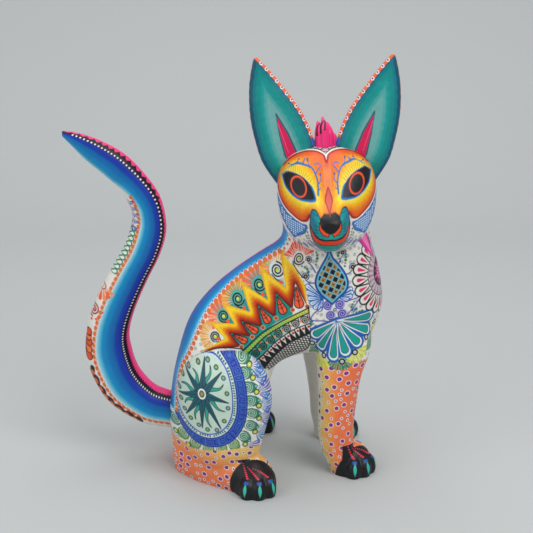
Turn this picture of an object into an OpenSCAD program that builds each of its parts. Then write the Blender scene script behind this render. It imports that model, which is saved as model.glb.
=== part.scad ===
// Carved and painted wooden fox, sitting, with its head turned to its right.
// The fox faces -Y and its left side is +X. It stands on the plane Z = 0.
// Stations are given as [x, forward, height, forward, height, width]: the two ends of an oval
// slice in the fore-and-aft plane, where forward is the distance towards -Y, and its full width.

/* [Trunk] */
// Full width of the trunk across the hips
hip_w = 88; // [80:1:94]
// Full width of the chest above the front legs
chest_w = 84; // [76:1:88]
// Full width of the neck, from the fox's left to its right
neck_w = 70; // [64:1:74]

/* [Head] */
// Full width of the head across the cheeks
head_w = 81; // [74:1:84]
// Turn of the head to the fox's right, in degrees
head_turn = 90; // [80:1:95]
// Tilt of the head to one side, in degrees
head_roll = 1.5; // [0:0.5:4]
// Distance from the neck's axis to the tip of the nose
snout_reach = 72; // [66:1:76]

/* [Ears] */
// Length of an ear above the middle of its root
ear_l = 97; // [86:1:100]
// Full width of an ear
ear_w = 46; // [40:1:50]
// Thickness of an ear at its root
ear_t = 15; // [13:0.5:17]
// Outward lean of an ear, in degrees
ear_lean = 18; // [14:1:22]
// Depth of the dish in the front of an ear
ear_dish = 4.5; // [3:0.5:5]

/* [Tail] */
// Full width of the tail at its thickest, across its plane
tail_w = 31; // [26:1:34]

/* [Legs] */
// Thickness of a lower leg
leg_d = 31; // [28:1:33]
// Full width of a paw
paw_w = 40; // [36:1:43]
// Height of a paw at the instep
paw_h = 27; // [24:1:30]
// Turn of the right front paw to the side, in degrees
front_paw_turn = 50; // [30:1:60]
// Turn of the right hind paw to the side, in degrees
hind_paw_turn = 78; // [60:1:85]

/* [Joints] */
// Gap round a peg or tenon, and in a glue line
fit_gap = 0.2; // [0.15:0.05:0.35]
// Diameter of the leg dowels
dowel_d = 8; // [6:0.5:9]
// Diameter of the neck dowel
neck_dowel_d = 12; // [10:0.5:14]
// Width of an ear's tenon
ear_tenon_w = 18; // [14:1:20]
// Thickness of an ear's tenon
ear_tenon_t = 7; // [6:0.5:8]
// Length of an ear's tenon below the ear's root
ear_tenon_l = 20; // [16:1:22]
// Width of the tail's tenon
tail_tenon_w = 13; // [11:1:15]
// Height of the tail's tenon
tail_tenon_h = 17; // [14:1:19]
// Length of the tail's tenon
tail_tenon_l = 24; // [18:1:26]

/* [Hidden] */

slice_t = 0.1;
slice_fn = 32;
hole_fn = 48;
small_fn = 16;
paw_fn = 24;
big = 400;

// Place of the design's own origin in the part's frame, which centres the figure on X and Y
origin = [-5.5, -29.4, 0];

// Where the neck's axis stands: x, forward
neck_at = [2, 48.5];
// The glued neck joint: its height at the neck's axis and its slope down to the fox's right
neck_joint_z = 221;
neck_joint_slope = 16;
// Height of the glued joint in each front leg
elbow_z = 88;
// Distance behind the middle, and the height, of the tail's root
tail_seat = 83;
tail_root_z = 48.5;
// Middle of each front leg's dowel, right then left: x, forward
front_peg_at = [[-15.5, 63], [47, 54]];
// Middle of each hind leg's dowel, right then left: x, forward, height
hind_peg_at = [[-44, -40, 66], [44, -38, 66]];
neck_dowel_l = 34;
front_dowel_l = 28;
hind_dowel_l = 20;
// Middle of an ear's root in the head's own frame, on the left: x, forward, height
ear_root = [26, 2, 270];
// Where the crest stands in the head's own frame, and its peg
crest_root = [0, 2, 282];
crest_peg_d = 5;
crest_peg_l = 12;

trunk_line = [
    [ 0, -70,   4, -34,   3,  40],
    [ 0, -80,  12, -14,   6,  66],
    [ 0, -85,  36,  -4,  30,  84],
    [ 0, -84,  68,   0,  58, hip_w],
    [ 1, -78, 101,   4,  82, hip_w - 2],
    [ 3, -67, 135,  10,  96, chest_w - 2],
    [ 6, -50, 158,  28, 104, chest_w - 4],
    [ 9, -29, 176,  58, 107, chest_w - 2],
    [11,  -7, 191,  86, 113, chest_w],
    [12,  10, 202, 100, 145, chest_w],
    [10,  14, 213,  97, 178, chest_w - 9],
    [ 6,  12, 227,  88, 210, neck_w],
    [ 4,  10, 240,  86, 236, neck_w - 3],
    [ 3,  12, 254,  82, 254, neck_w - 8]
];

head_line = [
    [0, -42, 262, -42, 242, 20],
    [0, -38, 273, -38, 228, 46],
    [0, -28, 282, -28, 217, head_w - 14],
    [0, -12, 287, -12, 210, head_w - 2],
    [0,   4, 288,   4, 206, head_w],
    [0,  18, 286,  20, 204, head_w],
    [0,  30, 280,  33, 205, head_w - 8],
    [0,  40, 269,  44, 208, head_w - 27],
    [0,  48, 256,  54, 212, 38],
    [0, snout_reach - 12, 247, snout_reach - 10, 215, 30],
    [0, snout_reach - 4, 243, snout_reach - 4, 220, 24],
    [0, snout_reach, 239, snout_reach, 226, 12]
];

tail_line = [
    [6,  -78,  65,  -78,  32, tail_w - 3],
    [6,  -86,  65,  -89,  32, tail_w - 3],
    [7, -100,  71, -113,  37, tail_w - 1],
    [8, -113,  87, -142,  58, tail_w],
    [9, -119, 106, -158,  93, tail_w],
    [9, -120, 122, -157, 124, tail_w - 1],
    [9, -114, 143, -148, 151, tail_w - 2],
    [9, -103, 168, -134, 178, tail_w - 3],
    [8,  -92, 190, -121, 201, tail_w - 5],
    [8,  -86, 209, -115, 219, tail_w - 6],
    [7,  -86, 226, -114, 228, tail_w - 7],
    [6,  -91, 245, -117, 238, tail_w - 8],
    [5, -103, 263, -124, 250, tail_w - 10],
    [4, -118, 279, -136, 262, tail_w - 12],
    [3, -136, 290, -151, 275, tail_w - 16],
    [2, -154, 297, -161, 286, tail_w - 20],
    [2, -169, 299.5, -169, 294.5, 5]
];

front_right_line = [
    [ -2, 38, 140, 90, 140, 46],
    [ -9, 42, 115, 90, 113, 41],
    [-15, 44,  90, 82,  90, leg_d + 4],
    [-18, 45,  65, 78,  65, leg_d + 1],
    [-19, 45,  42, 76,  42, leg_d],
    [-18, 47,  26, 77,  26, leg_d],
    [-17, 52,  12, 80,  12, leg_d + 1],
    [-16, 57,  -4, 80,  -4, leg_d - 2]
];

front_left_line = [
    [28, 38, 140, 86, 140, 42],
    [40, 35, 115, 84, 113, 41],
    [47, 33,  90, 75,  90, leg_d + 4],
    [50, 37,  65, 72,  65, leg_d + 1],
    [52, 40,  42, 71,  42, leg_d],
    [53, 41,  26, 72,  26, leg_d],
    [54, 44,  12, 76,  12, leg_d + 2],
    [54, 48,  -4, 76,  -4, leg_d]
];

// A value between p1 and p2 on a smooth curve through four
function smooth(p0, p1, p2, p3, t) =
    (2 * p1 + (p2 - p0) * t + (2 * p0 - 5 * p1 + 4 * p2 - p3) * t * t
     + (3 * p1 - p0 - 3 * p2 + p3) * t * t * t) / 2;

// The stations with more between them, on the smooth curve
function refine(line, steps) = [
    for (i = [0 : len(line) - 2], j = [0 : steps - 1])
        smooth(line[max(i - 1, 0)], line[i], line[i + 1], line[min(i + 2, len(line) - 1)],
               j / steps),
    line[len(line) - 1]
];

// The stations moved outwards by a gap on every side
function grown(line, gap) = [
    for (s = line)
        let (run = [s[3] - s[1], s[4] - s[2]], out = run / norm(run) * gap)
            [s[0], s[1] - out[0], s[2] - out[1], s[3] + out[0], s[4] + out[1], s[5] + 2 * gap]
];

// A round outline of radius 1. It is fuller at its corners the further squareness is above 2,
// and wider towards its first end the further egg is above 0
function oval(squareness, egg) = [
    for (a = [0 : 360 / slice_fn : 359])
        let (
            x = sign(cos(a)) * pow(abs(cos(a)), 2 / squareness),
            y = sign(sin(a)) * pow(abs(sin(a)), 2 / squareness)
        )
        [x * (1 - egg * y), y]
];

// One thin oval slice
module slice(s, squareness, egg) {
    run = [s[3] - s[1], s[4] - s[2]];
    translate([s[0], -(s[1] + s[3]) / 2, (s[2] + s[4]) / 2])
        rotate([atan2(run[1], -run[0]), 0, 0])
            linear_extrude(slice_t, center = true)
                scale([s[5] / 2, norm(run) / 2])
                    polygon(oval(squareness, egg));
}

// A smooth carved form through a line of stations
module skin(line, squareness = 2.2, egg = 0) {
    steps = 2;
    slices = refine(line, steps);
    for (i = [0 : len(slices) - 2])
        hull() {
            slice(slices[i], squareness, egg);
            slice(slices[i + 1], squareness, egg);
        }
}

module above_ground() {
    intersection() {
        children();
        translate([-big / 2, -big / 2, 0])
            cube(big);
    }
}

// Moves what is drawn about the neck's axis, facing -Y, to the head's own turn and tilt
module on_neck() {
    pivot = [0, 0, 300];
    translate([neck_at[0], -neck_at[1], 0])
        rotate([0, 0, -head_turn])
            translate(pivot)
                rotate([0, -head_roll, 0])
                    translate(-pivot)
                        children();
}

// Keeps what lies above the neck joint
module above_neck_joint() {
    intersection() {
        children();
        translate([neck_at[0], -neck_at[1], neck_joint_z])
            rotate([0, -neck_joint_slope, 0])
                translate([-big / 2, -big / 2, 0])
                    cube(big);
    }
}

module below_neck_joint() {
    difference() {
        children();
        translate([neck_at[0], -neck_at[1], neck_joint_z])
            rotate([0, -neck_joint_slope, 0])
                translate([-big / 2, -big / 2, 0])
                    cube(big);
    }
}

module head_form(gap = 0) {
    on_neck()
        skin(grown(head_line, gap), 2.5, 0.07);
}

// Trunk, neck and head before the neck is sawn through
module core() {
    skin(trunk_line);
    head_form();
}

/* ---- dowels and their holes ---- */

module neck_peg(d, l) {
    translate([neck_at[0], -neck_at[1], neck_joint_z])
        rotate([0, -neck_joint_slope, 0])
            cylinder(d = d, h = l, center = true, $fn = hole_fn);
}

module front_peg(side, d, l) {
    translate([front_peg_at[side][0], -front_peg_at[side][1], elbow_z])
        cylinder(d = d, h = l, center = true, $fn = hole_fn);
}

module hind_peg(side, d, l) {
    p = hind_peg_at[side];
    translate([p[0], -p[1], p[2]])
        rotate([0, 90, 0])
            cylinder(d = d, h = l, center = true, $fn = hole_fn);
}

/* ---- ears ---- */

ear_line = [
    [0,   -4, -16, 5, -16, ear_w - 14],
    [0,   -5,  -4, 6,  -4, ear_w - 6],
    [0.5, -6,  14, ear_t - 6, 14, ear_w + 1],
    [0.5, -6,  32, ear_t - 7, 32, ear_w],
    [1,   -5,  48, ear_t - 8, 48, ear_w - 5],
    [1.5, -4,  62, ear_t - 9, 62, ear_w - 13],
    [1.5, -3,  76, 4, 76, ear_w - 23],
    [1,   -2,  88, 3, 88, ear_w - 34],
    [0.5, -1, ear_l - 1, 1.5, ear_l - 1, 3]
];

// Draws at an ear's root, with the ear's length along +Z. side is 1 for the left ear, -1 for the right
module at_ear(side) {
    on_neck()
        translate([side * ear_root[0], -ear_root[1], ear_root[2]])
            mirror([side > 0 ? 0 : 1, 0, 0])
                rotate([0, ear_lean, 0])
                    children();
}

module ear_tenon(gap) {
    translate([-ear_tenon_w / 2 - gap, -ear_tenon_t / 2 - gap, -ear_tenon_l - gap])
        cube([ear_tenon_w + 2 * gap, ear_tenon_t + 2 * gap, ear_tenon_l + 24]);
}

// The hollow carved into the front of an ear
module ear_hollow() {
    hull() {
        translate([0, -ear_t * 0.75, 8])
            scale([ear_w * 0.4, ear_dish + 1, 14])
                sphere(1, $fn = slice_fn);
        translate([0.5, -ear_t * 0.75, 34])
            scale([ear_w * 0.37, ear_dish + 1, 20])
                sphere(1, $fn = slice_fn);
        translate([1.5, -ear_t * 0.6, 70])
            scale([ear_w * 0.13, ear_dish, 14])
                sphere(1, $fn = slice_fn);
    }
}

// The room that an ear needs as it is drawn out of its socket
module ear_way(side) {
    at_ear(side)
        linear_extrude(ear_l)
            scale([ear_w / 2 + 1.5, ear_t / 2 + 1.5])
                polygon(oval(2.2, 0));
}

module ear(side) {
    difference() {
        at_ear(side)
            difference() {
                skin(ear_line);
                ear_hollow();
            }
        head_form(fit_gap);
    }
    at_ear(side)
        ear_tenon(0);
}

/* ---- crest ---- */

module crest_tuft() {
    // Each lock: middle sideways, middle forward, height of its tip
    locks = [[-5, 0, 25], [-1, 2, 29], [3, 0, 24], [6, -2, 16]];
    for (lock = locks)
        hull() {
            translate([lock[0] * 0.8, -lock[1], 2])
                scale([5, 8, 7])
                    sphere(1, $fn = small_fn);
            translate([lock[0], -lock[1], lock[2] * 0.62])
                scale([4, 5.5, 6])
                    sphere(1, $fn = small_fn);
            translate([lock[0] - 1, 2 - lock[1], lock[2]])
                sphere(1, $fn = small_fn);
        }
}

/* ---- paws ---- */

// A paw about the middle of its pad, with its toes towards -Y
module paw() {
    toe_turn = 34;
    above_ground() {
        for (turn = [-toe_turn, 0, toe_turn])
            rotate([0, 0, turn])
                hull() {
                    translate([0, -paw_w * 0.36, paw_h * 0.22])
                        scale([paw_w * 0.19, paw_w * 0.21, paw_h * 0.42])
                            sphere(1, $fn = paw_fn);
                    translate([0, -paw_w * 0.1, paw_h * 0.4])
                        scale([paw_w * 0.2, paw_w * 0.2, paw_h * 0.46])
                            sphere(1, $fn = paw_fn);
                }
        translate([0, paw_w * 0.02, paw_h * 0.2])
            scale([paw_w * 0.47, paw_w * 0.47, paw_h * 0.8])
                sphere(1, $fn = paw_fn);
    }
}

module paw_at(x, forward, turn) {
    translate([x, -forward, 0])
        rotate([0, 0, turn])
            paw();
}

/* ---- pieces ---- */

module torso() {
    color("#e9e2d4")
        difference() {
            union() {
                below_neck_joint()
                    core();
                intersection() {
                    union() {
                        skin(front_right_line);
                        skin(front_left_line);
                    }
                    translate([-big / 2, -big / 2, elbow_z])
                        cube(big);
                }
            }
            neck_peg(neck_dowel_d + 2 * fit_gap, neck_dowel_l + 2 * fit_gap);
            for (side = [0, 1]) {
                front_peg(side, dowel_d + 2 * fit_gap, front_dowel_l + 2 * fit_gap);
                hind_peg(side, dowel_d + 2 * fit_gap, hind_dowel_l + 2 * fit_gap);
            }
            tail_pocket();
        }
}

module head() {
    color("#f08a24")
        difference() {
            above_neck_joint()
                core();
            neck_peg(neck_dowel_d + 2 * fit_gap, neck_dowel_l + 2 * fit_gap);
            for (side = [-1, 1])
                at_ear(side)
                    ear_tenon(fit_gap);
            on_neck()
                crest_peg(crest_peg_d + 2 * fit_gap, fit_gap);
        }
}

module left_ear() {
    color("#1c9aa0")
        ear(1);
}

module right_ear() {
    color("#1c9aa0")
        ear(-1);
}

module crest_peg(d, gap) {
    translate([crest_root[0], -crest_root[1], crest_root[2] - crest_peg_l - gap])
        cylinder(d = d, h = crest_peg_l + 14, $fn = hole_fn);
}

module crest() {
    color("#f0338c") {
        difference() {
            on_neck()
                translate([crest_root[0], -crest_root[1], crest_root[2]])
                    crest_tuft();
            head_form(fit_gap);
            for (side = [-1, 1])
                ear_way(side);
        }
        on_neck()
            crest_peg(crest_peg_d, 0);
    }
}

// The tail's tenon, with its root end on the seat
module tail_tenon(gap) {
    translate([tail_line[0][0] - tail_tenon_w / 2 - gap, tail_seat - tail_tenon_l - gap,
               tail_root_z - tail_tenon_h / 2 - gap])
        cube([tail_tenon_w + 2 * gap, tail_tenon_l + 6, tail_tenon_h + 2 * gap]);
}

// The shallow seat in the rump that the tail's root stands in
module tail_root_seat() {
    root = grown(tail_line, fit_gap + 0.5)[0];
    translate([root[0], tail_seat, tail_root_z])
        rotate([-90, 0, 0])
            linear_extrude(tail_line[0][5])
                scale([root[5] / 2, (root[2] - root[4]) / 2])
                    polygon(oval(2.2, 0));
}

module tail_pocket() {
    tail_root_seat();
    tail_tenon(fit_gap);
}

module tail() {
    color("#2a6fc0") {
        intersection() {
            skin(tail_line);
            translate([-big / 2, tail_seat + 0.1, 0])
                cube(big);
        }
        tail_tenon(0);
    }
}

module front_leg(side, line, x, forward, turn) {
    color("#e8713f")
        difference() {
            above_ground() {
                difference() {
                    skin(line);
                    translate([-big / 2, -big / 2, elbow_z])
                        cube(big);
                }
                paw_at(x, forward, turn);
            }
            front_peg(side, dowel_d + 2 * fit_gap, front_dowel_l + 2 * fit_gap);
        }
}

module front_right_leg() {
    front_leg(0, front_right_line, -16, 74.5, -front_paw_turn);
}

module front_left_leg() {
    front_leg(1, front_left_line, 57, 64, -5);
}

// The thigh and the lower leg folded under it, its long way turned out to one side
module thigh(x, forward, turn) {
    // Each round: forward, height, half its width, its length and its height
    rounds = [[-7, 73, 26, 37, 47], [17, 83, 20, 29, 38], [-3, 46, 25, 39, 42]];
    translate([x, -forward, 0])
        rotate([0, 0, turn])
            hull()
                for (r = rounds)
                    translate([0, -r[0], r[1]])
                        scale([r[2], r[3], r[4]])
                            sphere(1, $fn = slice_fn);
}

module foot(line) {
    for (i = [0 : len(line) - 2])
        hull()
            for (s = [line[i], line[i + 1]])
                translate([s[0], -s[1], s[2] * 0.3])
                    scale([s[3] / 2, s[3] / 2, s[2] * 0.7])
                        sphere(1, $fn = slice_fn);
}

// One hind leg, hollowed to sit on the trunk and cut back at the middle to clear the other
module hind_leg(side) {
    color("#4f9e8c")
        difference() {
            above_ground()
                children();
            skin(grown(trunk_line, fit_gap));
            hind_peg(side, dowel_d + 2 * fit_gap, hind_dowel_l + 2 * fit_gap);
            translate([side == 0 ? -fit_gap / 2 : fit_gap / 2 - big, -big / 2, -1])
                cube(big);
        }
}

module hind_right_leg() {
    hind_leg(0) {
        thigh(-35, -37, -30);
        foot([[-11, -62, 60, 42], [-26, -46, 50, 43], [-40, -26, 37, 40], [-51, -12, 30, 37]]);
        paw_at(-55, -10, -hind_paw_turn);
    }
}

module hind_left_leg() {
    hind_leg(1) {
        thigh(37, -37, 24);
        foot([[12, -62, 60, 42], [34, -50, 50, 43], [54, -32, 36, 40], [66, -20, 29, 36]]);
        paw_at(70, -14, 8);
    }
}

module neck_dowel() {
    color("#c9a46c")
        neck_peg(neck_dowel_d, neck_dowel_l);
}

module front_dowel(side) {
    color("#c9a46c")
        front_peg(side, dowel_d, front_dowel_l);
}

module hind_dowel(side) {
    color("#c9a46c")
        hind_peg(side, dowel_d, hind_dowel_l);
}

translate(origin) {
    torso();
    head();
    left_ear();
    right_ear();
    crest();
    tail();
    front_right_leg();
    front_left_leg();
    hind_right_leg();
    hind_left_leg();
    neck_dowel();
    front_dowel(0);  // front_right_dowel
    front_dowel(1);  // front_left_dowel
    hind_dowel(0);  // hind_right_dowel
    hind_dowel(1);  // hind_left_dowel
}
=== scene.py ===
"""The looks of the painted wooden fox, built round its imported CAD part.

Forms and paintwork are given in millimetres in the fox's own frame: x towards its left side,
forward towards its chest, z up. in_row() takes them to the row frame, in metres.
"""

import math

import bmesh
import bpy
import numpy as np
from mathutils import Matrix, Vector, kdtree


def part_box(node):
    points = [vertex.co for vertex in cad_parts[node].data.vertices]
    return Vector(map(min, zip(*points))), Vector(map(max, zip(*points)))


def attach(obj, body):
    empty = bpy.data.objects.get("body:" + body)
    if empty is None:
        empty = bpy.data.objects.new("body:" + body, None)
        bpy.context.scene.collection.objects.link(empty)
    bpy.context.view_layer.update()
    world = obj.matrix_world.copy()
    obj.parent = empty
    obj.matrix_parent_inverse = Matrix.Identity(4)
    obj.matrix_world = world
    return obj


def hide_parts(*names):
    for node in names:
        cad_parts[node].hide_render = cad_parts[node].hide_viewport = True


# ---------------------------------------------------------------- places and sizes

ORIGIN = (-5.5, -29.4, 0.0)
NECK_AXIS = (2.0, 48.5)
NECK_JOINT_Z = 221.0
NECK_JOINT_SLOPE = 16.0
HEAD_TURN = 90.0
HEAD_ROLL = 1.5
HEAD_PIVOT_Z = 300.0
ELBOW_Z = 88.0
TAIL_SEAT = 83.0
TAIL_ROOT_Z = 48.5
EAR_ROOT = (26.0, 2.0, 270.0)
EAR_LEAN = 18.0
CREST_ROOT = (0.0, 2.0, 282.0)
GAP = 0.2
# Half the width, half the thickness and the depth of an ear's tenon
EAR_TENON = (9.0, 3.5, 20.0)
# Half the width, the depth and half the height of the tail's tenon
TAIL_TENON = (6.5, 24.0, 8.5)
DOWELS = (
    "neck_dowel",
    "front_right_dowel",
    "front_left_dowel",
    "hind_right_dowel",
    "hind_left_dowel",
)

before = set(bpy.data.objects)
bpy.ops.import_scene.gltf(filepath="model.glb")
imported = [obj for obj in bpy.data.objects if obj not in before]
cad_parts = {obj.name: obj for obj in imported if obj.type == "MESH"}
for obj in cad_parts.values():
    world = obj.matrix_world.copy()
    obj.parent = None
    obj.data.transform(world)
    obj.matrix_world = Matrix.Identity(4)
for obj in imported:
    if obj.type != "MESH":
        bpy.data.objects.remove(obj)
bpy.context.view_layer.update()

# Each station is an oval slice between two edge points: x, forward, z, forward, z, full width
TRUNK = [
    (0, -70, 4, -34, 3, 40),
    (0, -80, 12, -14, 6, 66),
    (0, -85, 36, -4, 30, 84),
    (0, -84, 68, 0, 58, 88),
    (1, -78, 101, 4, 82, 86),
    (3, -67, 135, 10, 96, 82),
    (6, -50, 158, 28, 104, 80),
    (9, -29, 176, 58, 107, 82),
    (11, -7, 191, 86, 113, 84),
    (12, 10, 202, 100, 145, 84),
    (10, 14, 213, 97, 178, 75),
    (6, 12, 227, 88, 210, 70),
    (4, 10, 240, 86, 236, 67),
    (3, 12, 254, 82, 254, 62),
]
HEAD = [
    (0, -42, 262, -42, 242, 20),
    (0, -38, 273, -38, 228, 46),
    (0, -28, 282, -28, 217, 67),
    (0, -12, 287, -12, 210, 79),
    (0, 4, 288, 4, 206, 81),
    (0, 18, 286, 20, 204, 81),
    (0, 30, 280, 33, 205, 73),
    (0, 40, 269, 44, 208, 54),
    (0, 48, 256, 54, 212, 38),
    (0, 60, 247, 62, 215, 30),
    (0, 68, 243, 68, 220, 24),
    (0, 72, 239, 72, 226, 12),
]
TAIL = [
    (6, -78, 65, -78, 32, 28),
    (6, -86, 65, -89, 32, 28),
    (7, -100, 71, -113, 37, 30),
    (8, -113, 87, -142, 58, 31),
    (9, -119, 106, -158, 93, 31),
    (9, -120, 122, -157, 124, 30),
    (9, -114, 143, -148, 151, 29),
    (9, -103, 168, -134, 178, 28),
    (8, -92, 190, -121, 201, 26),
    (8, -86, 209, -115, 219, 25),
    (7, -86, 226, -114, 228, 24),
    (6, -91, 245, -117, 238, 23),
    (5, -103, 263, -124, 250, 21),
    (4, -118, 279, -136, 262, 19),
    (3, -136, 290, -151, 275, 15),
    (2, -154, 297, -161, 286, 11),
    (2, -169, 299.5, -169, 294.5, 5),
]
FRONT_RIGHT = [
    (-2, 38, 140, 90, 140, 46),
    (-9, 42, 115, 90, 113, 41),
    (-15, 44, 90, 82, 90, 35),
    (-18, 45, 65, 78, 65, 32),
    (-19, 45, 42, 76, 42, 31),
    (-18, 47, 26, 77, 26, 31),
    (-17, 52, 12, 80, 12, 32),
    (-16, 57, 0, 80, 0, 29),
]
FRONT_LEFT = [
    (28, 38, 140, 86, 140, 42),
    (40, 35, 115, 84, 113, 41),
    (47, 33, 90, 75, 90, 35),
    (50, 37, 65, 72, 65, 32),
    (52, 40, 42, 71, 42, 31),
    (53, 41, 26, 72, 26, 31),
    (54, 44, 12, 76, 12, 33),
    (54, 48, 0, 76, 0, 31),
]
EAR = [
    (0, -4, -16, 5, -16, 32),
    (0, -5, -4, 6, -4, 40),
    (0.5, -6, 14, 9, 14, 47),
    (0.5, -6, 32, 8, 32, 46),
    (1, -5, 48, 7, 48, 41),
    (1.5, -4, 62, 6, 62, 33),
    (1.5, -3, 76, 4, 76, 23),
    (1, -2, 88, 3, 88, 12),
    (0.5, -1, 96, 1.5, 96, 3),
]
PAW_W = 40.0
PAW_H = 27.0
TOE_TURN = 34.0
TAIL_STEPS = 50
TAIL_AROUND = 180
SQUARENESS = 2.2
CORE_GRAIN = 0.9
CORE_ROUNDS = 10
# Middle of each paw: x, forward, turn in degrees
PAWS = {
    "front_right": (-16, 74.5, -50),
    "front_left": (57, 64, -5),
    "hind_right": (-55, -10, -78),
    "hind_left": (70, -14, 8),
}
# Middle and turn of each thigh, and the stations of its foot: x, forward, height, width
HIND_LEGS = {
    "hind_right": (
        (-35, -37, -30),
        [(-11, -62, 60, 42), (-26, -46, 50, 43), (-40, -26, 37, 40), (-51, -12, 30, 37)],
    ),
    "hind_left": (
        (37, -37, 24),
        [(12, -62, 60, 42), (34, -50, 50, 43), (54, -32, 36, 40), (66, -20, 29, 36)],
    ),
}

# ---------------------------------------------------------------- forms


def turn(degrees, axis):
    return Matrix.Rotation(math.radians(degrees), 4, axis)


def moved(x, forward, z):
    return Matrix.Translation((x, -forward, z))


def head_frame():
    """Takes a point of the head's own frame, which faces -Y, to the fox's frame."""
    tilt = moved(0, 0, HEAD_PIVOT_Z) @ turn(-HEAD_ROLL, "Y") @ moved(0, 0, -HEAD_PIVOT_Z)
    return moved(NECK_AXIS[0], NECK_AXIS[1], 0) @ turn(-HEAD_TURN, "Z") @ tilt


def ear_frame(side):
    """Takes a point of an ear's frame, its length along +Z, to the fox's frame. 1 is left."""
    flip = Matrix.Diagonal((side, 1, 1, 1))
    return head_frame() @ moved(side * EAR_ROOT[0], *EAR_ROOT[1:]) @ flip @ turn(EAR_LEAN, "Y")


def carried(matrix, points):
    m = np.array(matrix)
    return points @ m[:3, :3].T + m[:3, 3]


def in_row(points):
    """Points of the fox's frame, x, -forward, z in millimetres, in the row frame in metres."""
    return (points + np.array(ORIGIN)) / 1000


def in_fox(points):
    return points * 1000 - np.array(ORIGIN)


def placed(name, data):
    """A new object of the scene."""
    obj = bpy.data.objects.new(name, data)
    bpy.context.scene.collection.objects.link(obj)
    return obj


def built(name, work):
    """An object from finished bmesh work."""
    mesh = bpy.data.meshes.new(name)
    work.to_mesh(mesh)
    work.free()
    return placed(name, mesh)


def new_piece(name, points, faces):
    """A closed form from points in the fox's frame, its faces turned outward."""
    mesh = bpy.data.meshes.new(name)
    mesh.from_pydata(in_row(points).tolist(), [], faces)
    obj = placed(name, mesh)
    turn_outward(obj)
    return obj


def smooth_between(p0, p1, p2, p3, t):
    return (
        2 * p1
        + (p2 - p0) * t
        + (2 * p0 - 5 * p1 + 4 * p2 - p3) * t**2
        + (3 * p1 - p0 - 3 * p2 + p3) * t**3
    ) / 2


def refined(line, steps):
    """The rows of a line with more between them, on a smooth curve."""
    line = np.array(line, float)
    last = len(line) - 1
    rows = []
    for i in range(last):
        four = line[max(i - 1, 0)], line[i], line[i + 1], line[min(i + 2, last)]
        rows += [smooth_between(*four, j / steps) for j in range(steps)]
    return np.array(rows + [line[last]])


def rings(line, squareness, egg, steps, around):
    """The oval slices of a line of stations: an array of slices by points by x, y, z."""
    rows = refined(line, steps)[:, None, :]
    a = np.linspace(0, 2 * np.pi, around, endpoint=False)
    across = np.sign(np.cos(a)) * np.abs(np.cos(a)) ** (2 / squareness)
    along = np.sign(np.sin(a)) * np.abs(np.sin(a)) ** (2 / squareness)
    x = rows[..., 0] + rows[..., 5] / 2 * across * (1 - egg * along)
    forward = (rows[..., 1] + rows[..., 3]) / 2 + (rows[..., 3] - rows[..., 1]) / 2 * along
    z = (rows[..., 2] + rows[..., 4]) / 2 + (rows[..., 4] - rows[..., 2]) / 2 * along
    return np.stack([x, -forward, z], axis=-1)


def lofted(name, line, squareness=SQUARENESS, egg=0.0, frame_of=Matrix(), steps=5, around=80):
    """A smooth carved form through a line of stations."""
    slices = rings(line, squareness, egg, steps, around)
    points = carried(frame_of, slices.reshape(-1, 3))
    faces = []
    for i in range(0, len(points) - around, around):
        for j in range(around):
            k = (j + 1) % around
            faces.append((i + j, i + k, i + around + k, i + around + j))
    faces.append(tuple(reversed(range(around))))
    faces.append(tuple(range(len(points) - around, len(points))))
    return new_piece(name, points, faces)


def turn_outward(obj):
    work = bmesh.new()
    work.from_mesh(obj.data)
    bmesh.ops.recalc_face_normals(work, faces=work.faces)
    work.to_mesh(obj.data)
    work.free()


def ball_points(centre, radii, rows=24):
    """Points of an ellipsoid. The centre is given as x, forward, z."""
    up = np.linspace(0, np.pi, rows)[:, None]
    round_ = np.linspace(0, 2 * np.pi, 2 * rows, endpoint=False)[None, :]
    unit = np.stack(
        [np.sin(up) * np.cos(round_), np.sin(up) * np.sin(round_), np.cos(up) + 0 * round_], -1
    )
    x, forward, z = centre
    return unit.reshape(-1, 3) * np.array(radii, float) + np.array((x, -forward, z), float)


def hulled(name, balls, frame_of=Matrix()):
    """The tight skin round several ellipsoids, each a centre and its three radii."""
    points = np.concatenate([ball_points(centre, radii) for centre, radii in balls])
    work = bmesh.new()
    for p in in_row(carried(frame_of, points)):
        work.verts.new(p)
    made = bmesh.ops.convex_hull(work, input=work.verts)
    spare = made["geom_interior"] + made["geom_unused"]
    loose = {g for g in spare if isinstance(g, bmesh.types.BMVert)}
    bmesh.ops.delete(work, geom=list(loose), context="VERTS")
    bmesh.ops.recalc_face_normals(work, faces=work.faces)
    return built(name, work)


def box(name, low, high, frame_of=Matrix()):
    """A box between two corners given as x, y, z in the frame that it is drawn in."""
    ends = list(zip(low, high))
    corners = np.array([(x, y, z) for x in ends[0] for y in ends[1] for z in ends[2]], float)
    faces = [(0, 1, 3, 2), (4, 6, 7, 5), (0, 4, 5, 1), (2, 3, 7, 6), (0, 2, 6, 4), (1, 5, 7, 3)]
    return new_piece(name, carried(frame_of, corners), faces)


def bake(obj):
    """Applies the object's modifiers."""
    graph = bpy.context.evaluated_depsgraph_get()
    mesh = bpy.data.meshes.new_from_object(obj.evaluated_get(graph))
    old = obj.data
    obj.modifiers.clear()
    obj.data = mesh
    bpy.data.meshes.remove(old)


def remove(*objs):
    for obj in objs:
        mesh = obj.data
        bpy.data.objects.remove(obj)
        bpy.data.meshes.remove(mesh)


def joined(name, objs):
    """One object from several, their meshes side by side."""
    work = bmesh.new()
    for obj in objs:
        work.from_mesh(obj.data)
    remove(*objs)
    return built(name, work)


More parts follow.
